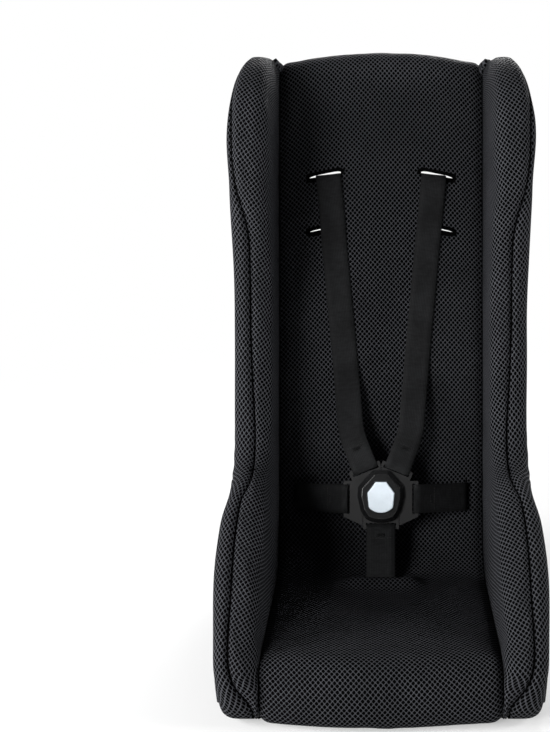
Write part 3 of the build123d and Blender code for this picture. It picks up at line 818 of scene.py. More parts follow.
def moulded_plastic(name, base, gloss, grain):
    """Injection-moulded plastic with a faint grain, handling marks and soft gloss changes."""
    finish = Finish(name, Specular_IOR_Level=0.5)
    place = finish.place()
    grainy = finish.noise(place, 1400.0, 2.0)
    smear = finish.noise(place, 90.0, 4.0, 0.65)
    scuff = finish.noise(place, 420.0, 5.0, 0.7).step(0.6, 0.78)
    toned = finish.mix(smear, tinted(base, 0.85), tinted(base, 1.12))
    finish.feed("Base Color", finish.mix(scuff * 0.25, toned, tinted(base, 1.6)))
    finish.feed("Roughness", gloss + smear * 0.1 + scuff * 0.14)
    finish.bump(grainy, grain, 0.0002)
    return finish.material


def bead_foam(name):
    """Moulded foam: fused beads with fine lines between them."""
    colours = bpy.context.scene.seat_colours
    finish = Finish(name, Specular_IOR_Level=0.35)
    place = finish.place()
    edges = finish.node(
        "ShaderNodeTexVoronoi", {"feature": "DISTANCE_TO_EDGE"}, {"Vector": place, "Scale": 330.0}, "Distance"
    )
    bead = edges.step(0.0, 0.16)
    tone = finish.node("ShaderNodeTexVoronoi", {}, {"Vector": place, "Scale": 330.0}, "Color")
    shade, _, _ = finish.parts(tone)
    wear = finish.noise(place, 40.0, 4.0, 0.6)
    body = finish.mix(shade * 0.6 + wear * 0.4, tinted(colours.foam, 0.7), tinted(colours.foam, 1.5))
    finish.feed("Base Color", finish.mix(bead, tinted(colours.foam, 0.4), body))
    finish.feed("Roughness", 0.55 + wear * 0.2)
    finish.bump(bead, 0.5, 0.0005)
    return finish.material


def drawn_steel(name):
    """Zinc-plated steel with draw marks."""
    colours = bpy.context.scene.seat_colours
    finish = Finish(name, Metallic=1.0)
    values = {"Vector": finish.place(), "Scale": (60.0, 1500.0, 1500.0)}
    streak = finish.noise(finish.node("ShaderNodeMapping", {}, values), 1.0, 3.0)
    dull = finish.noise(finish.place(), 160.0, 4.0)
    finish.feed("Base Color", finish.mix(dull, tinted(colours.steel, 0.8), colours.steel))
    finish.feed("Roughness", 0.26 + streak * 0.12 + dull * 0.14)
    finish.bump(streak, 0.15, 0.0001)
    return finish.material


# Operators


class SEAT_OT_stage(bpy.types.Operator):
    """Floor, white surroundings, soft lamps and the camera"""

    bl_idname = "child_seat.stage"
    bl_label = "Stage"

    def execute(self, context):
        scene = context.scene
        stage = scene.seat_stage
        scene.view_settings.view_transform = "Standard"
        self.lay_floor(scene)
        self.light_surroundings(scene, stage)
        middle = Vector((0.0, 0.03, 0.24))
        self.add_lamp("left_lamp", (-1.87, -0.47, 0.76), middle, 0.8, stage.key_power)
        self.add_lamp("front_lamp", (-1.11, -1.55, 0.76), middle, 0.8, stage.front_power)
        self.add_lamp("right_lamp", (1.85, -0.30, 0.92), middle, 0.8, stage.fill_power)
        self.add_lamp("rear_lamp", (0.3, 1.6, 1.2), middle, 1.0, stage.fill_power)
        self.set_camera(scene, stage)
        return {"FINISHED"}

    def lay_floor(self, scene):
        deselect()
        bpy.ops.mesh.primitive_grid_add(x_subdivisions=4, y_subdivisions=4, size=14.0, location=(0, 0, 0))
        floor = bpy.context.object
        floor.name = "studio_floor"
        bpy.ops.object.transform_apply(location=True, rotation=True, scale=True)
        finish = Finish("studio_floor", Roughness=0.9, Specular_IOR_Level=0.1)
        speck = finish.noise(finish.place(), 3.0)
        tint = scene.seat_colours.floor
        finish.feed("Base Color", finish.mix(speck, tint, tinted(tint, 1.01)))
        camera, glossy, clear = finish.rays()
        across, along, _ = finish.parts(finish.place())
        away = (across * across + along * along).math("SQRT").step(0.25, 1.1)
        seen = (camera + glossy + clear) * (away * 0.6 + 0.4)
        glow = finish.node("ShaderNodeEmission", {}, {"Color": WHITE})
        finish.show(finish.node("ShaderNodeMixShader", {}, [seen, finish.surface, glow]))
        floor.data.materials.append(finish.material)

    def light_surroundings(self, scene, stage):
        """White to the camera and, behind the seat, in what mirrors it, but dim as a light."""
        scene.world = bpy.data.worlds.new("white_surroundings")
        scene.world.use_nodes = True
        around = Nodes(scene.world.node_tree, "ShaderNodeOutputWorld")
        _, rearward, _ = around.parts(around.node("ShaderNodeTexCoord", {}, {}, "Generated"))
        values = {"Value": rearward, "From Min": -0.1, "From Max": 0.4}
        behind = around.node("ShaderNodeMapRange", {}, values)
        camera, glossy, clear = around.rays()
        seen = camera.math("MAXIMUM", glossy * behind).math("MAXIMUM", clear)
        even = around.node("ShaderNodeBackground", {}, {"Color": WHITE, "Strength": stage.sky})
        white = around.node("ShaderNodeBackground", {}, {"Color": WHITE, "Strength": 1.0})
        around.show(around.node("ShaderNodeMixShader", {}, [seen, even, white]))

    def add_lamp(self, name, place, target, size, power):
        lamp = bpy.data.lights.new(name, "AREA")
        lamp.shape = "DISK"
        lamp.size = size
        lamp.energy = power
        holder = bpy.data.objects.new(name, lamp)
        holder.location = place
        holder.rotation_euler = (target - Vector(place)).to_track_quat("-Z", "Y").to_euler()
        bpy.context.scene.collection.objects.link(holder)

    def set_camera(self, scene, stage):
        bucket = Bucket()
        lens = bpy.data.cameras.new("camera")
        lens.sensor_width = 36.0
        lens.lens = lens.sensor_width * stage.camera_distance / stage.picture_height
        lens.shift_x = stage.shift_right
        lens.shift_y = stage.shift_up
        lens.clip_end = 40.0
        lens.dof.use_dof = False
        holder = bpy.data.objects.new("camera", lens)
        holder.location = bucket.on_back(0, stage.camera_height, stage.camera_distance)
        holder.rotation_euler = (-bucket.ahead).to_track_quat("-Z", "Y").to_euler()
        scene.collection.objects.link(holder)
        scene.camera = holder


class Slot:
    """A harness slot: its middle, the way its strap runs off, the way out of the padding.

    The mouth can be turned against the strap, and its opening climbs towards the rear.
    """

    def __init__(self, middle, run, out, width, climb=0.0, turn=0.0, worn=True):
        self.middle = middle
        self.run = run.normalized()
        self.out = out.normalized()
        self.across = self.run.cross(self.out)
        self.width = width
        self.turn = turn
        self.worn = worn
        self.shift = 0.0
        self.mouth_run = self.run * cos(turn) + self.across * sin(turn)
        self.mouth_across = self.mouth_run.cross(self.out)
        self.axis = self.out * cos(climb) + self.run * sin(climb)

    def place(self, along, out, across=0.0):
        return self.middle + self.run * along + self.out * out + self.across * across

    def at_mouth(self, point):
        """(across, along) of a point over the mouth."""
        away = point - self.middle
        return away.dot(self.mouth_across), away.dot(self.mouth_run)

    def gap_to(self, point):
        """Distance of a point from the band of painted shade round the slot."""
        across, along = self.at_mouth(point)
        harness = bpy.context.scene.seat_harness
        beyond = max(0.0, abs(across) - harness.slit_reach)
        return hypot(beyond, along) - harness.slit_shade_band

    def outline(self, reach, above, count=36):
        """Opening as (across, along): bowed above the webbing and close under it."""
        harness = bpy.context.scene.seat_harness
        lower_lip = harness.slot_gap / 2 - harness.lip_room
        upper, lower = [], []
        for k in range(count + 1):
            x = -reach * cos(pi * k / count)
            bow = 1 - (x / reach) ** 6
            upper.append((x, -above * bow))
            under = lower_lip + 0.0009 + x * tan(self.turn)
            inside = smooth(-0.0002, 0.0008, self.width / 2 + 0.0006 - abs(x - self.shift)) * self.worn
            lower.append((x, 0.3 * above * bow * (1 - inside) + under * inside))
        return lower + upper[-2:0:-1]

    def rim(self, reach, above, below, count=36):
        """Long oval round the opening as (across, along)."""
        turns = [2 * pi * k / count for k in range(count)]
        return [(-reach * cos(a), sin(a) * (above if sin(a) < 0 else below)) for a in turns]


def shoulder_bend(harness):
    """Where a shoulder strap turns in towards its bar, as (x, height up the back)."""
    x = harness.bar_x + harness.bend_rise * sin(harness.bar_turn)
    up = harness.buckle_height + harness.bar_rise + harness.bend_rise * cos(harness.bar_turn)
    return x, up


def harness_slots():
    """The seven slots by name."""
    bucket = Bucket()
    harness = bpy.context.scene.seat_harness
    slots = {}
    across = Vector((1, 0, 0))
    bend_x, bend_up = shoulder_bend(harness)
    for side, sign in SIDES:
        lean = sign * atan2(harness.shoulder_x - bend_x, harness.upper_slot - bend_up)
        run = across * -sin(lean) - bucket.up * cos(lean)
        for row, height in (("upper", harness.upper_slot), ("lower", harness.lower_slot)):
            middle = bucket.on_back(sign * harness.shoulder_x, height)
            slot = Slot(
                middle,
                run,
                bucket.ahead,
                harness.shoulder_width,
                climb=harness.slot_climb,
                turn=sign * harness.slot_turn,
                worn=row == "upper",
            )
            slot.shift = sign * harness.strap_shift
            slots[f"{row}_shoulder_{side}"] = slot
        middle = bucket.on_back(sign * harness.hip_x, harness.buckle_height - harness.hip_drop)
        slots[f"hip_{side}"] = Slot(middle, across * -sign, bucket.ahead, harness.hip_width)
    run = harness.crotch_run * cos(bucket.sizes.pan_rise)
    middle = bucket.place(0, Vector((-run, run * tan(bucket.sizes.pan_rise))))
    slots["crotch"] = Slot(middle, Vector((0, 1, 0)), Vector((0, 0, 1)), harness.hip_width)
    return slots


def slit_outline(name, slot):
    """Opening of a slot in the cover."""
    harness = bpy.context.scene.seat_harness
    if "shoulder" not in name:
        return slot.outline(slot.width / 2 + 0.003, 0.0004)
    return slot.outline(harness.slit_reach, harness.slit if slot.worn else 0.7 * harness.slit)


class SEAT_OT_centre_panel(bpy.types.Operator):
    """Panel of mesh cloth over the top, back, pan and lip, cut for the harness"""

    bl_idname = "child_seat.centre_panel"
    bl_label = "Centre panel"

    def execute(self, context):
        bucket = Bucket()
        cover = context.scene.seat_cover
        half = bucket.half
        edge = [0.0, 0.0012, 0.003, 0.006, 0.010, 0.0155]
        inner = half - 0.022
        count = round(2 * inner / cover.grain)
        middle = [-inner + 2 * inner * k / count for k in range(count + 1)]
        stations = [-half + e for e in edge] + middle + [half - e for e in reversed(edge)]
        lines = {x: bucket.centre_line(x, cover.hem_top, cover.hem_front) for x in stations}
        spine = bucket.centre_line(0.0, cover.hem_top, cover.hem_front)
        slots = harness_slots()
        rows, uvs = [], []
        count = round(spine.length / cover.grain)
        for r in range(count + 1):
            part = r / count
            row, flat = [], []
            for x in stations:
                line = lines[x]
                point = line.point(part * line.length)
                out = line.out(part * line.length)
                gap = half - abs(x)
                rise = 0.0008 * (1 - (x / half) ** 2) - 0.0012 - cover.tuck * exp(-((gap / 0.0042) ** 2))
                wave = noise.noise(Vector((x * 14, part * spine.length * 11, 3.7))) * 0.0009
                rise += wave * smooth(0.0, 0.02, gap) + self.drawn_in(slots, bucket.place(x, point))
                point = point + out * rise
                row.append(bucket.place(x, point))
                flat.append((x, part * spine.length))
            rows.append(row)
            uvs.append(flat)
        # The shoulder slots get a band of painted shade round them
        shade_banded_slots = [slot for name, slot in slots.items() if "shoulder" in name]
        piece = add_panel("centre_panel", rows, uvs, True, shade_banded_slots)
        sew_panel(piece, len(stations), 0.5 * cover.puff, 2.0)
        self.cut_slots(piece)
        finish = mesh_cloth("mesh_cloth_centre", radians(2.5), (1.0, 1.0), drawn_open=0.6)
        seat_piece(piece, "mesh", finish, "cover_centre_panel")
        return {"FINISHED"}

    def drawn_in(self, slots, point):
        """Height by which the cloth sinks round the shoulder slots and stands up round the crotch slot."""
        height = 0.0
        for name, slot in slots.items():
            if "hip" in name or (point - slot.middle).length > 0.05:
                continue
            across, along = slot.at_mouth(point)
            if name == "crotch":
                reach = 0.010 if along < -0.003 else 0.004 + 0.006 * smooth(0.015, 0.022, abs(across))
                height += 0.0085 * smooth(0.044, 0.028, abs(across)) * exp(-(((along + 0.003) / reach) ** 2))
            else:
                away = hypot(max(0.0, abs(across) - 0.014), along)
                height -= 0.0016 * exp(-((away / 0.007) ** 2))
        return height

    def cut_slots(self, piece):
        """Opens the panel at the harness slots."""
        points, faces = [], []
        for name, slot in harness_slots().items():
            outline = slit_outline(name, slot)
            base = len(points)
            count = len(outline)
            for depth in (-0.016, 0.016):
                for across, along in outline:
                    flat = slot.mouth_across * across + slot.mouth_run * along
                    points.append(slot.middle + flat + slot.axis * depth)
            faces.append([base + k for k in reversed(range(count))])
            faces.append([base + count + k for k in range(count)])
            for k in range(count):
                n = (k + 1) % count
                faces.append((base + k, base + n, base + count + n, base + count + k))
        cutter = add_piece("slot_cutter", points, faces)
        face_outward(cutter)
        apply_modifier(piece, "BOOLEAN", operation="DIFFERENCE", solver="EXACT", object=cutter)
        bpy.data.objects.remove(cutter)


class SEAT_OT_bolster_panels(bpy.types.Operator):
    """Panels over the inner faces and noses of the two bolsters"""

    bl_idname = "child_seat.bolster_panels"
    bl_label = "Bolster panels"

    wall_parts = (0.0, 0.05, 0.12, 0.22, 0.36, 0.5, 0.65, 0.8, 0.92)
    turn_steps = 7
    nose_point = len(wall_parts) + turn_steps

    def execute(self, context):
        for side, sign in SIDES:
            self.sew(context, side, sign)
        return {"FINISHED"}

    def sew(self, context, side, sign):
        bucket = Bucket()
        cover = context.scene.seat_cover
        ridge = bucket.bolster_line()
        crease = bucket.centre_line(bucket.half, cover.hem_top, cover.hem_front)
        at = bucket.side
        floor = bucket.floor
        pairs = (
            (ridge.points[0], at(-0.016, 0.5077)),
            (at(0.03, 0.500), at(-0.004, 0.502)),
            (at(0.075, 0.487), at(0, 0.470)),
            (at(0.1, 0.42), at(0, 0.425)),
            (at(0.1, 0.35), at(0, 0.352)),
            (at(0.066, 0.25), at(0, 0.25)),
            (at(0.066, 0.15), at(0, 0.145)),
            (at(0.075, 0.112), at(0, 0.09)),
            (at(0.1, 0.098), at(0.003, 0.062)),
            (at(0.12, 0.083), Vector((-0.018, 0.014))),
            (Vector((-0.167, 0.063)), Vector((-0.130, 0.009))),
            (Vector((-0.215, 0.028)), Vector((-0.185, 0.013))),
            (Vector((-0.232, 0.008)), Vector((-0.214, 0.012))),
            (Vector((-0.242, -0.008)), Vector((-0.2405, -0.010))),
            (Vector((-0.239, -0.030)), Vector((-0.239, -0.031))),
            (Vector((-0.214, floor)), Vector((-0.214, floor))),
        )
        places, values = paired(ridge, crease, pairs)
        crease_at = curve_through(places, values)
        last = places[-1]
        count = round(last / cover.grain)
        rows, uvs = [], []
        for r in range(count + 1):
            distance = last * r / count
            row = self.section(bucket, cover, ridge, distance, crease.point(crease_at(distance)), sign)
            marks = running_length(row)
            rows.append([Vector((sign * p.x, p.y, p.z)) for p in row])
            uvs.append([(sign * (mark - marks[self.nose_point]), distance) for mark in marks])
        piece = add_panel(f"bolster_panel_{side}", rows, uvs, flip=sign > 0)
        sew_panel(piece, len(rows[0]), cover.puff, 3.0)
        finish = mesh_cloth(f"mesh_cloth_bolster_{side}", sign * radians(9), (1.0, 1.0))
        seat_piece(piece, "mesh", finish, f"cover_bolster_panel_{side}")

    def section(self, bucket, cover, ridge, distance, junction, sign):
        """One row, from the junction with the centre up the inner wall and over the nose to the seam."""
        nose = ridge.point(distance)
        inward = junction - nose
        height = inward.length
        straight = -ridge.out(distance)
        inward = straight.lerp(inward / max(height, 1e-5), smooth(0.006, 0.03, height)).normalized()
        wide = bucket.half_width(nose)
        seam = bucket.seam(nose)
        sizes = bucket.sizes
        flare = sizes.inner_lean * smooth(0.0, 0.05, height)
        inner = max(0.0015, min(sizes.inner_round, 0.9 * height, seam - bucket.half - flare - 0.001))
        steps = [(bucket.half, height + cover.tuck)]
        for part in self.wall_parts:
            steps.append((bucket.half + flare * part, height + (inner - height) * part))
        for k in range(1, self.turn_steps + 1):
            turn = pi / 2 * k / self.turn_steps
            steps.append((bucket.half + flare + inner * (1 - cos(turn)), inner * (1 - sin(turn))))
        first = bucket.half + flare + inner
        for part in (0.2, 0.4, 0.6, 0.78, 0.9, 1.0):
            x = first + (seam - first) * part
            over = max(0.0, x - wide + sizes.outer_round)
            drop = sizes.outer_round - sqrt(max(0.0, sizes.outer_round**2 - over**2))
            gap = seam - x
            steps.append((x, drop + cover.tuck * 0.75 * exp(-((gap / 0.0026) ** 2))))
        row = []
        notch = ridge.nearest(bucket.side(0.078, 0.108))
        for x, depth in steps:
            wave = noise.noise(Vector((x * 22, distance * 17, 9.1 + 4 * sign))) * 0.0008
            fold = cover.crumple * exp(-(((distance - notch) / 0.022) ** 2)) * smooth(0.05, 0.0, depth)
            wave += fold * 0.6 * sin((distance - notch) * 2 * pi / 0.017 + x * 60)
            row.append(bucket.place(x, nose + inward * (depth + wave * smooth(0.0, 0.01, seam - x))))
        return row


class SEAT_OT_side_panels(bpy.types.Operator):
    """Panels over the outer walls, drawn round to the open rear and base"""

    bl_idname = "child_seat.side_panels"
    bl_label = "Side panels"

    def execute(self, context):
        for side, sign in SIDES:
            self.sew(context, side, sign)
        return {"FINISHED"}

    def sew(self, context, side, sign):
        bucket = Bucket()
        cover = context.scene.seat_cover
        ridge = bucket.bolster_line()
        at = bucket.side
        floor = bucket.floor
        toe = Vector((-0.236, floor + 0.006))
        pairs = (
            (toe, toe),
            (Vector((-0.242, -0.006)), Vector((-0.206, floor))),
            (Vector((-0.232, 0.010)), Vector((-0.166, floor))),
            (Vector((-0.190, 0.046)), Vector((-0.106, floor))),
            (Vector((-0.140, 0.083)), Vector((-0.042, floor))),
            (at(0.118, 0.085), Vector((0.018, floor))),
            (at(0.1, 0.098), Vector((0.056, floor))),
            (at(0.073, 0.113), Vector((0.069, -0.012))),
            (at(0.066, 0.15), Vector((0.069, 0.036))),
            (at(0.066, 0.21), at(-0.043, 0.108)),
            (at(0.075, 0.29), at(-0.043, 0.215)),
            (at(0.1, 0.37), at(-0.043, 0.335)),
            (at(0.1, 0.43), at(-0.043, 0.412)),
            (at(0.078, 0.485), at(-0.043, 0.462)),
            (at(0.03, 0.500), at(-0.043, 0.486)),
        )
        front = [ridge.nearest(a) for a, b in pairs] + [0.006, 0.0]
        rear = [ridge.nearest(b) for a, b in pairs] + [ridge.nearest(at(-0.034, 0.504)), ridge.length]
        start = front[0]
        rear_at = curve_through([start - d for d in front], rear)
        count = round(start / cover.grain)
        rows, uvs = [], []
        for r in range(count + 1):
            run = start * r / count
            row = self.section(bucket, cover, ridge, start - run, rear_at(run), sign)
            marks = running_length(row)
            rows.append([Vector((sign * p.x, p.y, p.z)) for p in row])
            uvs.append([(sign * mark, run) for mark in marks])
        piece = add_panel(f"side_panel_{side}", rows, uvs, flip=sign < 0)
        sew_panel(piece, len(rows[0]), cover.puff, 3.0)
        finish = mesh_cloth(f"mesh_cloth_side_{side}", sign * radians(-6), (1.0, 0.85))
        seat_piece(piece, "mesh", finish, f"cover_side_panel_{side}")

    def section(self, bucket, cover, ridge, front, rear, sign):
        """One row: from the seam over the outer edge, across the outer wall and round to the hem."""
        row = self.edge(bucket, cover, ridge, front, None)
        hem = self.edge(bucket, cover, ridge, rear, cover.hem_side + 0.002)
        first, last = row[-1], hem[-1]
        steps = 22
        notch = ridge.nearest(bucket.side(0.078, 0.108))
        for k in range(1, steps):
            part = k / steps
            side = first[1].lerp(last[1], part)
            row.append((bucket.half_width(side), side))
        row += reversed(hem)
        points = []
        travelled = 0.0
        for k, (x, side) in enumerate(row):
            if k:
                travelled += hypot(x - row[k - 1][0], (side - row[k - 1][1]).length)
            wave = noise.noise(Vector((side.x * 13, side.y * 13, 21.3 + 5 * sign))) * 0.0012
            fold = cover.crumple * exp(-(((travelled - 0.018) / 0.02) ** 2))
            wave += fold * exp(-(((front - notch) / 0.02) ** 2)) * sin((front - notch) * 2 * pi / 0.015)
            points.append(bucket.place(x + wave * smooth(0.0, 0.012, travelled), side))
        return points

    def edge(self, bucket, cover, ridge, distance, hem):
        """From the seam or the hem over the rounded edge to the outer wall, as (x, side-view point)."""
        sizes = bucket.sizes
        point = ridge.point(distance)
        out = ridge.out(distance)
        wide = bucket.half_width(point)
        turn_x = wide - sizes.outer_round
        start = bucket.seam(point) if hem is None else hem
        first_turn = asin(min(1.0, max(0.0, (start - turn_x) / sizes.outer_round)))
        straight = max(0.0, turn_x - start)
        total = straight + (pi / 2 - first_turn) * sizes.outer_round
        parts = (0.0, 0.06, 0.14, 0.26, 0.4, 0.55, 0.7, 0.85, 1.0)
        found = []
        for part in parts:
            gone = total * part
            if gone < straight:
                x, depth = start + gone, 0.0
            else:
                turn = first_turn + (gone - straight) / sizes.outer_round
                x = turn_x + sizes.outer_round * sin(turn)
                depth = sizes.outer_round * (1 - cos(turn))
            if hem is None:
                depth += cover.tuck * 0.75 * exp(-((gone / 0.0026) ** 2))
            found.append((x, point - out * depth))
        return found


class SEAT_OT_hem_binding(bpy.types.Operator):
    """Gathered tape over the open edge of the cover at the rear and under the base"""

    bl_idname = "child_seat.hem_binding"
    bl_label = "Hem binding"

    def execute(self, context):
        bucket = Bucket()
        cover = context.scene.seat_cover
        rear = bucket.rear_line(cover.hem_top, cover.hem_front)
        far, half = rear.length, cover.hem_side
        corner_round, spacing = 0.012, 0.0032
        corners = ((half, 0), (half, far), (-half, far), (-half, 0))
        loop = SideLine(((0, 0), 0), *((corner, corner_round) for corner in corners), ((0, 0), 0))
        count = round(loop.length / spacing)
        profile = [(cos(pi * k / 8), sin(pi * k / 8)) for k in range(9)]
        points, uvs = [], []
        for r in range(count):
            distance = loop.length * r / count
            flat = loop.point(distance)
            aside = loop.out(distance)
            gather = 1 + 0.14 * sin(distance * 2 * pi / 0.0085)
            gather += 0.1 * noise.noise(Vector((distance * 90, 0, 1)))
            for across, up in profile:
                spot = flat + aside * (across * cover.binding_width / 2)
                out = -rear.out(spot.y)
                height = 0.0019 * up * gather - 0.0006
                side = rear.point(spot.y) + out * height + self.beyond(rear, spot.y)
                points.append(bucket.place(spot.x, side))
                uvs.append((across * cover.binding_width / 2, distance))
        faces = tube_faces(count, len(profile), closed=True)
        piece = add_piece("hem_binding_tape", points, faces, uvs)
        face_outward(piece)
        apply_modifier(piece, "SUBSURF", levels=1, render_levels=1)
        bpy.ops.object.shade_smooth()
        seat_piece(piece, "binding", tape_cloth("binding_tape"), "hem_binding")
        return {"FINISHED"}

    def beyond(self, line, distance):
        """What is left of a distance past either end of a line, straight on."""
        over = max(0.0, distance - line.length) + min(0.0, distance)
        if not over:
            return Vector((0, 0))
        end = line.length if over > 0 else 0.0
        out = line.out(end)
        return Vector((-out.y, out.x)) * over


class Course:
    """Line of a strap: a route of (distance along the strap, height over its slot's mouth) and a plan.

    The plan is the strap's line over the padding as (distance along, distance across), and starts
    behind the slot.
    """

    def __init__(self, node, slot, route, bar, plan=None):
        self.node = node
        self.slot = slot
        self.route = route
        self.plan = plan
        self.bar_mark = route.nearest(bar + Vector((0, 0.004)))

    def place(self, distance, up, across):
        """Point over the strap's middle line, up from it and to its side."""
        spot = self.route.point(distance) - self.route.out(distance) * up
        if not self.plan:
            return self.slot.place(spot.x, spot.y, across)
        run = spot.x - self.plan.points[0].x
        flat = self.plan.point(run) - self.plan.out(run) * across
        return self.slot.place(flat.x, spot.y, flat.y)


def bar_end(harness, last, bar, tail):
    """Corners of a route round a bar of the buckle and back along the strap."""
    off = harness.bar_round + harness.webbing / 2
    along = (bar - last).normalized()
    out = Vector((-along.y, along.x))
    return (
        (bar + (out + along) * off, off),
        (bar + (along - out) * off, off),
        (bar + out * (off - harness.webbing) - along * tail, 0),
    )


def seat_line(harness):
    """Middle of the webbing from the middle of its slot."""
    return harness.slot_gap / 2 - harness.lip_room - harness.webbing / 2


def shoulder_route(bucket, harness, bar):
    """From behind a shoulder rod round it, up to the slot, through it and down the back to a bar."""
    thick = harness.webbing
    loop = harness.rod_radius + harness.rod_play + thick / 2
    depth = bucket.sizes.back_thickness - harness.pocket_depth
    rod = Vector((harness.rod_drop, -depth - harness.rod_play - loop - thick / 2))
    line = seat_line(harness)
    climb = tan(harness.slot_climb)
    front = rod.y + loop
    last = Vector((0.190, 0.0014 + thick / 2))
    return SideLine(
        ((rod.x - 0.018, front - thick - 0.0001), 0),
        ((rod.x - 0.0075, front - thick - 0.0001), 0.002),
        ((rod.x - 0.003, rod.y - loop), 0.003),
        ((rod.x + loop, rod.y - loop), loop),
        ((rod.x + loop, front), loop),
        ((rod.x - 0.017, front), 0.003),
        ((line + (-depth - 0.004) * climb, -depth - 0.004), 0.003),
        ((line + 0.004 * climb, 0.004), 0.003),
        ((0.034, last.y), 0.03),
        (last, 0.06),
        *bar_end(harness, last, bar, 0.028),
    )


def straight_route(harness, bar, depth, bulge, tail):
    """From behind a rod round it, straight out of the slot and over to a bar."""
    thick = harness.webbing
    loop = harness.rod_radius + harness.rod_play + thick / 2
    line = seat_line(harness)
    rod = Vector((line - loop, -depth - harness.rod_play - harness.rod_radius))
    last = Vector((line, bulge))
    return SideLine(
        ((line - thick - 0.0001, rod.y + 0.017), 0),
        ((line - thick - 0.0001, rod.y + 0.0085), 0.002),
        ((rod.x - loop, rod.y + 0.003), 0.002),
        ((rod.x - loop, rod.y - loop), loop),
        ((line, rod.y - loop), loop),
        (last, 0.004),
        *bar_end(harness, last, bar, tail),
    )


def strap_courses():
    """The five straps by the name of their webbing."""
    bucket = Bucket()
    harness = bpy.context.scene.seat_harness
    slots = harness_slots()

    def seen(slot, x, up):
        away = bucket.on_back(x, harness.buckle_height + up, harness.buckle_depth) - slot.middle
        return Vector((away.dot(slot.run), away.dot(slot.out)))

    courses = {}
    back_depth = bucket.sizes.back_thickness - harness.pocket_depth
    _, bend_up = shoulder_bend(harness)
    for side, sign in SIDES:
        slot = slots[f"upper_shoulder_{side}"]
        bend = (harness.upper_slot - bend_up) / -slot.run.dot(bucket.up)
        further = sign * harness.bar_turn - atan2(-slot.run.x, -slot.run.dot(bucket.up))
        last = Vector((bend + 0.07 * cos(further), 0.07 * sin(further)))
        plan = SideLine(((-0.06, slot.shift), 0), ((0.02, slot.shift), 0.1), ((bend, 0), 0.08), (last, 0))
        bar = Vector((bend + harness.bend_rise, harness.buckle_depth))
        route = shoulder_route(bucket, harness, bar)
        courses[f"shoulder_webbing_{side}"] = Course(f"shoulder_strap_{side}", slot, route, bar, plan)
        slot = slots[f"hip_{side}"]
        bar = seen(slot, sign * harness.hip_bar_x, -harness.hip_drop)
        route = straight_route(harness, bar, back_depth, 0.005, 0.024)
        courses[f"hip_webbing_{side}"] = Course(f"hip_strap_{side}", slot, route, bar)
    slot = slots["crotch"]
    bar = seen(slot, 0, -harness.crotch_drop)
    route = straight_route(harness, bar, slot.middle.z - harness.pocket_depth, 0.006, 0.016)
    courses["crotch_webbing"] = Course("crotch_strap", slot, route, bar)
    return courses


class SEAT_OT_straps(bpy.types.Operator):
    """Shoulder, hip and crotch webbing from the anchor rods to the buckle"""

    bl_idname = "child_seat.straps"
    bl_label = "Harness straps"

    def execute(self, context):
        finish = webbing_cloth("harness_webbing")
        for seed, (name, course) in enumerate(strap_courses().items()):
            seat_piece(self.weave(name, course, 3.0 * seed), "webbing", finish, course.node)
        return {"FINISHED"}

    def weave(self, name, course, seed):
        """Flat webbing along its course, with soft edges and a slight unevenness."""
        thick = bpy.context.scene.seat_harness.webbing / 2
        edge = course.slot.width / 2 - thick
        upper = [(edge * part, 1.0) for part in (-1.0, -0.6, -0.2, 0.2, 0.6, 1.0)]
        ring = upper + [(edge + thick, 0.0)]
        ring += [(across, -up) for across, up in reversed(upper)] + [(-edge - thick, 0.0)]
        count = max(24, round(course.route.length / 0.0035))
        points, uvs = [], []
        for r in range(count + 1):
            distance = course.route.length * r / count
            lift = noise.noise(Vector((distance * 24, seed, 0.5))) * 0.0004
            shift = noise.noise(Vector((distance * 15, seed, 7.5))) * 0.0004
            for across, up in ring:
                cup = 0.00025 * (across / edge) ** 2
                points.append(course.place(distance, up * thick + lift + cup, across + shift))
                uvs.append((across + (0.0 if up >= 0 else 0.03), distance))
        faces = tube_faces(count + 1, len(ring), closed=False)
        piece = add_piece(name, points, faces, uvs)
        face_outward(piece)
        bpy.ops.object.shade_smooth_by_angle(angle=radians(50))
        return piece


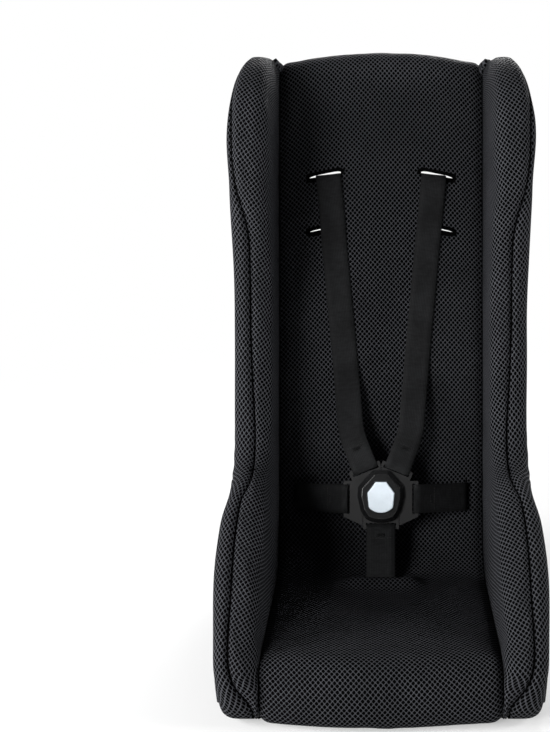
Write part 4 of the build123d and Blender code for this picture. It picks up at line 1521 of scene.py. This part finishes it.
class SEAT_OT_stitches(bpy.types.Operator):
    """Rows of stitches and bar tacks that close the strap ends round the buckle's bars"""

    bl_idname = "child_seat.stitches"
    bl_label = "Strap stitches"

    def execute(self, context):
        finish = sewing_thread("sewing_thread")
        top = context.scene.seat_harness.webbing / 2 + 0.0003
        for name, course in strap_courses().items():
            back = {"shoulder": 0.024, "hip": 0.019, "crotch": 0.014}[name.split("_")[0]]
            points, faces = [], []
            for line in (self.row(course, back, top), self.tack(course, back - 0.003, top)):
                found, found_faces = self.thread(line)
                faces += [[len(points) + k for k in face] for face in found_faces]
                points += found
            piece = add_piece(name.replace("webbing", "stitches"), points, faces)
            face_outward(piece)
            bpy.ops.object.shade_smooth()
            seat_piece(piece, "webbing", finish)
        return {"FINISHED"}

    def row(self, course, back, top):
        """Straight row of stitches from edge to edge, dipping into the webbing between them."""
        reach = course.slot.width / 2 - 0.003
        count = 4 * round(2 * reach / 0.0028)
        dips = (0.0006, 0.0001, 0.0, 0.0001)
        return [
            course.place(course.bar_mark - back, top - dips[k % 4], -reach + 2 * reach * k / count)
            for k in range(count + 1)
        ]

    def tack(self, course, back, top):
        """Close zigzag in the middle of the strap."""
        strokes = 16
        return [
            course.place(course.bar_mark - back + 0.0016 * (k % 2 * 2 - 1), top, 0.0075 * (k / strokes - 0.5))
            for k in range(strokes + 1)
        ]

    def thread(self, line):
        """Points and faces of one thread along a line of points."""
        sides, radius = 5, 0.00024
        points = []
        for k, point in enumerate(line):
            way = (line[min(k + 1, len(line) - 1)] - line[max(k - 1, 0)]).normalized()
            aside = way.orthogonal().normalized()
            other = way.cross(aside)
            for c in range(sides):
                turn = 2 * pi * c / sides
                points.append(point + (aside * cos(turn) + other * sin(turn)) * radius)
        return points, tube_faces(len(line), sides, closed=False)


class SEAT_OT_slot_bindings(bpy.types.Operator):
    """Sewn edges round the harness slots"""

    bl_idname = "child_seat.slot_bindings"
    bl_label = "Slot bindings"

    def execute(self, context):
        finish = tape_cloth("slot_tape")
        for name, slot in harness_slots().items():
            if "shoulder" in name:
                seat_piece(self.sew(f"slot_binding_{name}", slot), "binding", finish)
        return {"FINISHED"}

    def sew(self, name, slot):
        """Tape round a slot's opening, rolled in at its inner edge."""
        reach = bpy.context.scene.seat_harness.slit_reach + 0.0005
        above, below = (0.0024, 0.0030) if slot.worn else (0.0016, 0.0010)
        outline = [Vector(spot) for spot in slot.rim(reach, above, below)]
        profile = self.profile()
        marks = running_length(outline)
        count = len(outline)
        points, uvs = [], []
        for k in range(count):
            way = outline[(k + 1) % count] - outline[k - 1]
            aside = Vector((-way.y, way.x)).normalized()
            for across, up in profile:
                flat = outline[k] + aside * across
                spot = slot.middle + slot.mouth_across * flat.x + slot.mouth_run * flat.y
                points.append(spot + slot.out * (up - 0.0022))
                uvs.append((across - 0.0030, marks[k]))
        piece = add_piece(name, points, tube_faces(count, len(profile), closed=True), uvs)
        face_outward(piece)
        bpy.ops.object.shade_smooth()
        return piece

    def profile(self):
        """Section of the tape as (outward from the opening, height): a flat part and a rolled edge."""
        roll = 0.0009
        turns = [pi * (0.5 + k / 6) for k in range(7)]
        inner = [(cos(turn) * roll + roll, sin(turn) * roll) for turn in turns]
        return [(0.0046, -0.0010), (0.0043, 0.0003), (0.0030, 0.0008)] + inner


class SEAT_OT_hard_parts(bpy.types.Operator):
    """Finishes of the shell, rods and buckle, which keep their CAD shapes"""

    bl_idname = "child_seat.hard_parts"
    bl_label = "Shell, rods and buckle"

    def execute(self, context):
        colours = context.scene.seat_colours
        black = moulded_plastic("buckle_plastic", colours.plastic, 0.2, 0.06)
        tongue = moulded_plastic("tongue_plastic", colours.plastic, 0.3, 0.1)
        pale = moulded_plastic("button_plastic", colours.button, 0.3, 0.04)
        foam = bead_foam("shell_foam")
        steel = drawn_steel("plated_steel")
        finishes = {
            foam: ("seat_shell",),
            black: ("buckle_bezel",),
            tongue: ("tongue_left", "tongue_right", "buckle_housing"),
            pale: ("release_button",),
            steel: (
                "shoulder_left_rod",
                "shoulder_right_rod",
                "hip_left_rod",
                "hip_right_rod",
                "crotch_rod",
                "button_spring",
                "buckle_screws",
            ),
        }
        for finish, names in finishes.items():
            for name in names:
                node = frame["nodes"][name]
                node.data.materials.clear()
                node.data.materials.append(finish)
        self.let_spring_give(frame["nodes"]["button_spring"])
        return {"FINISHED"}

    def let_spring_give(self, spring):
        """Works out the share of the spring that the button's travel would leave and gives the spring its own
        mesh; its length stays as it is.
        """
        press = next(joint for joint in frame["joints"] if joint["name"] == "button_press")
        way = Vector(press["axis"])
        reach = [way.dot(vertex.co) for vertex in spring.data.vertices]
        keep = 1 - press["range_m"][1] / (max(reach) - min(reach))
        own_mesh(spring)


PIECE_OPERATORS = (
    SEAT_OT_stage,
    SEAT_OT_centre_panel,
    SEAT_OT_bolster_panels,
    SEAT_OT_side_panels,
    SEAT_OT_hem_binding,
    SEAT_OT_straps,
    SEAT_OT_stitches,
    SEAT_OT_slot_bindings,
    SEAT_OT_hard_parts,
)


class SEAT_PT_pieces(bpy.types.Panel):
    """Lists the pieces of the seat in the order they are made"""

    bl_idname = "SEAT_PT_pieces"
    bl_label = "Child Seat"
    bl_space_type = "VIEW_3D"
    bl_region_type = "UI"
    bl_category = "Child Seat"

    def draw(self, context):
        column = self.layout.column(align=True)
        for operator in PIECE_OPERATORS:
            column.operator(operator.bl_idname)


SETTINGS = {
    "seat_bucket": SeatBucketSizes,
    "seat_cover": SeatCoverSizes,
    "seat_harness": SeatHarnessSizes,
    "seat_colours": SeatColours,
    "seat_stage": SeatStageSizes,
}


def register():
    for name, group in SETTINGS.items():
        bpy.utils.register_class(group)
        setattr(bpy.types.Scene, name, bpy.props.PointerProperty(type=group))
    for operator in PIECE_OPERATORS:
        bpy.utils.register_class(operator)
    bpy.utils.register_class(SEAT_PT_pieces)


def unregister():
    bpy.utils.unregister_class(SEAT_PT_pieces)
    for operator in reversed(PIECE_OPERATORS):
        bpy.utils.unregister_class(operator)
    for name, group in SETTINGS.items():
        delattr(bpy.types.Scene, name)
        bpy.utils.unregister_class(group)


def main():
    register()
    bpy.ops.child_seat.stage()
    bpy.ops.child_seat.centre_panel()
    bpy.ops.child_seat.bolster_panels()
    bpy.ops.child_seat.side_panels()
    bpy.ops.child_seat.hem_binding()
    bpy.ops.child_seat.straps()
    bpy.ops.child_seat.stitches()
    bpy.ops.child_seat.slot_bindings()
    bpy.ops.child_seat.hard_parts()
    deselect()


if __name__ == "__main__":
    main()
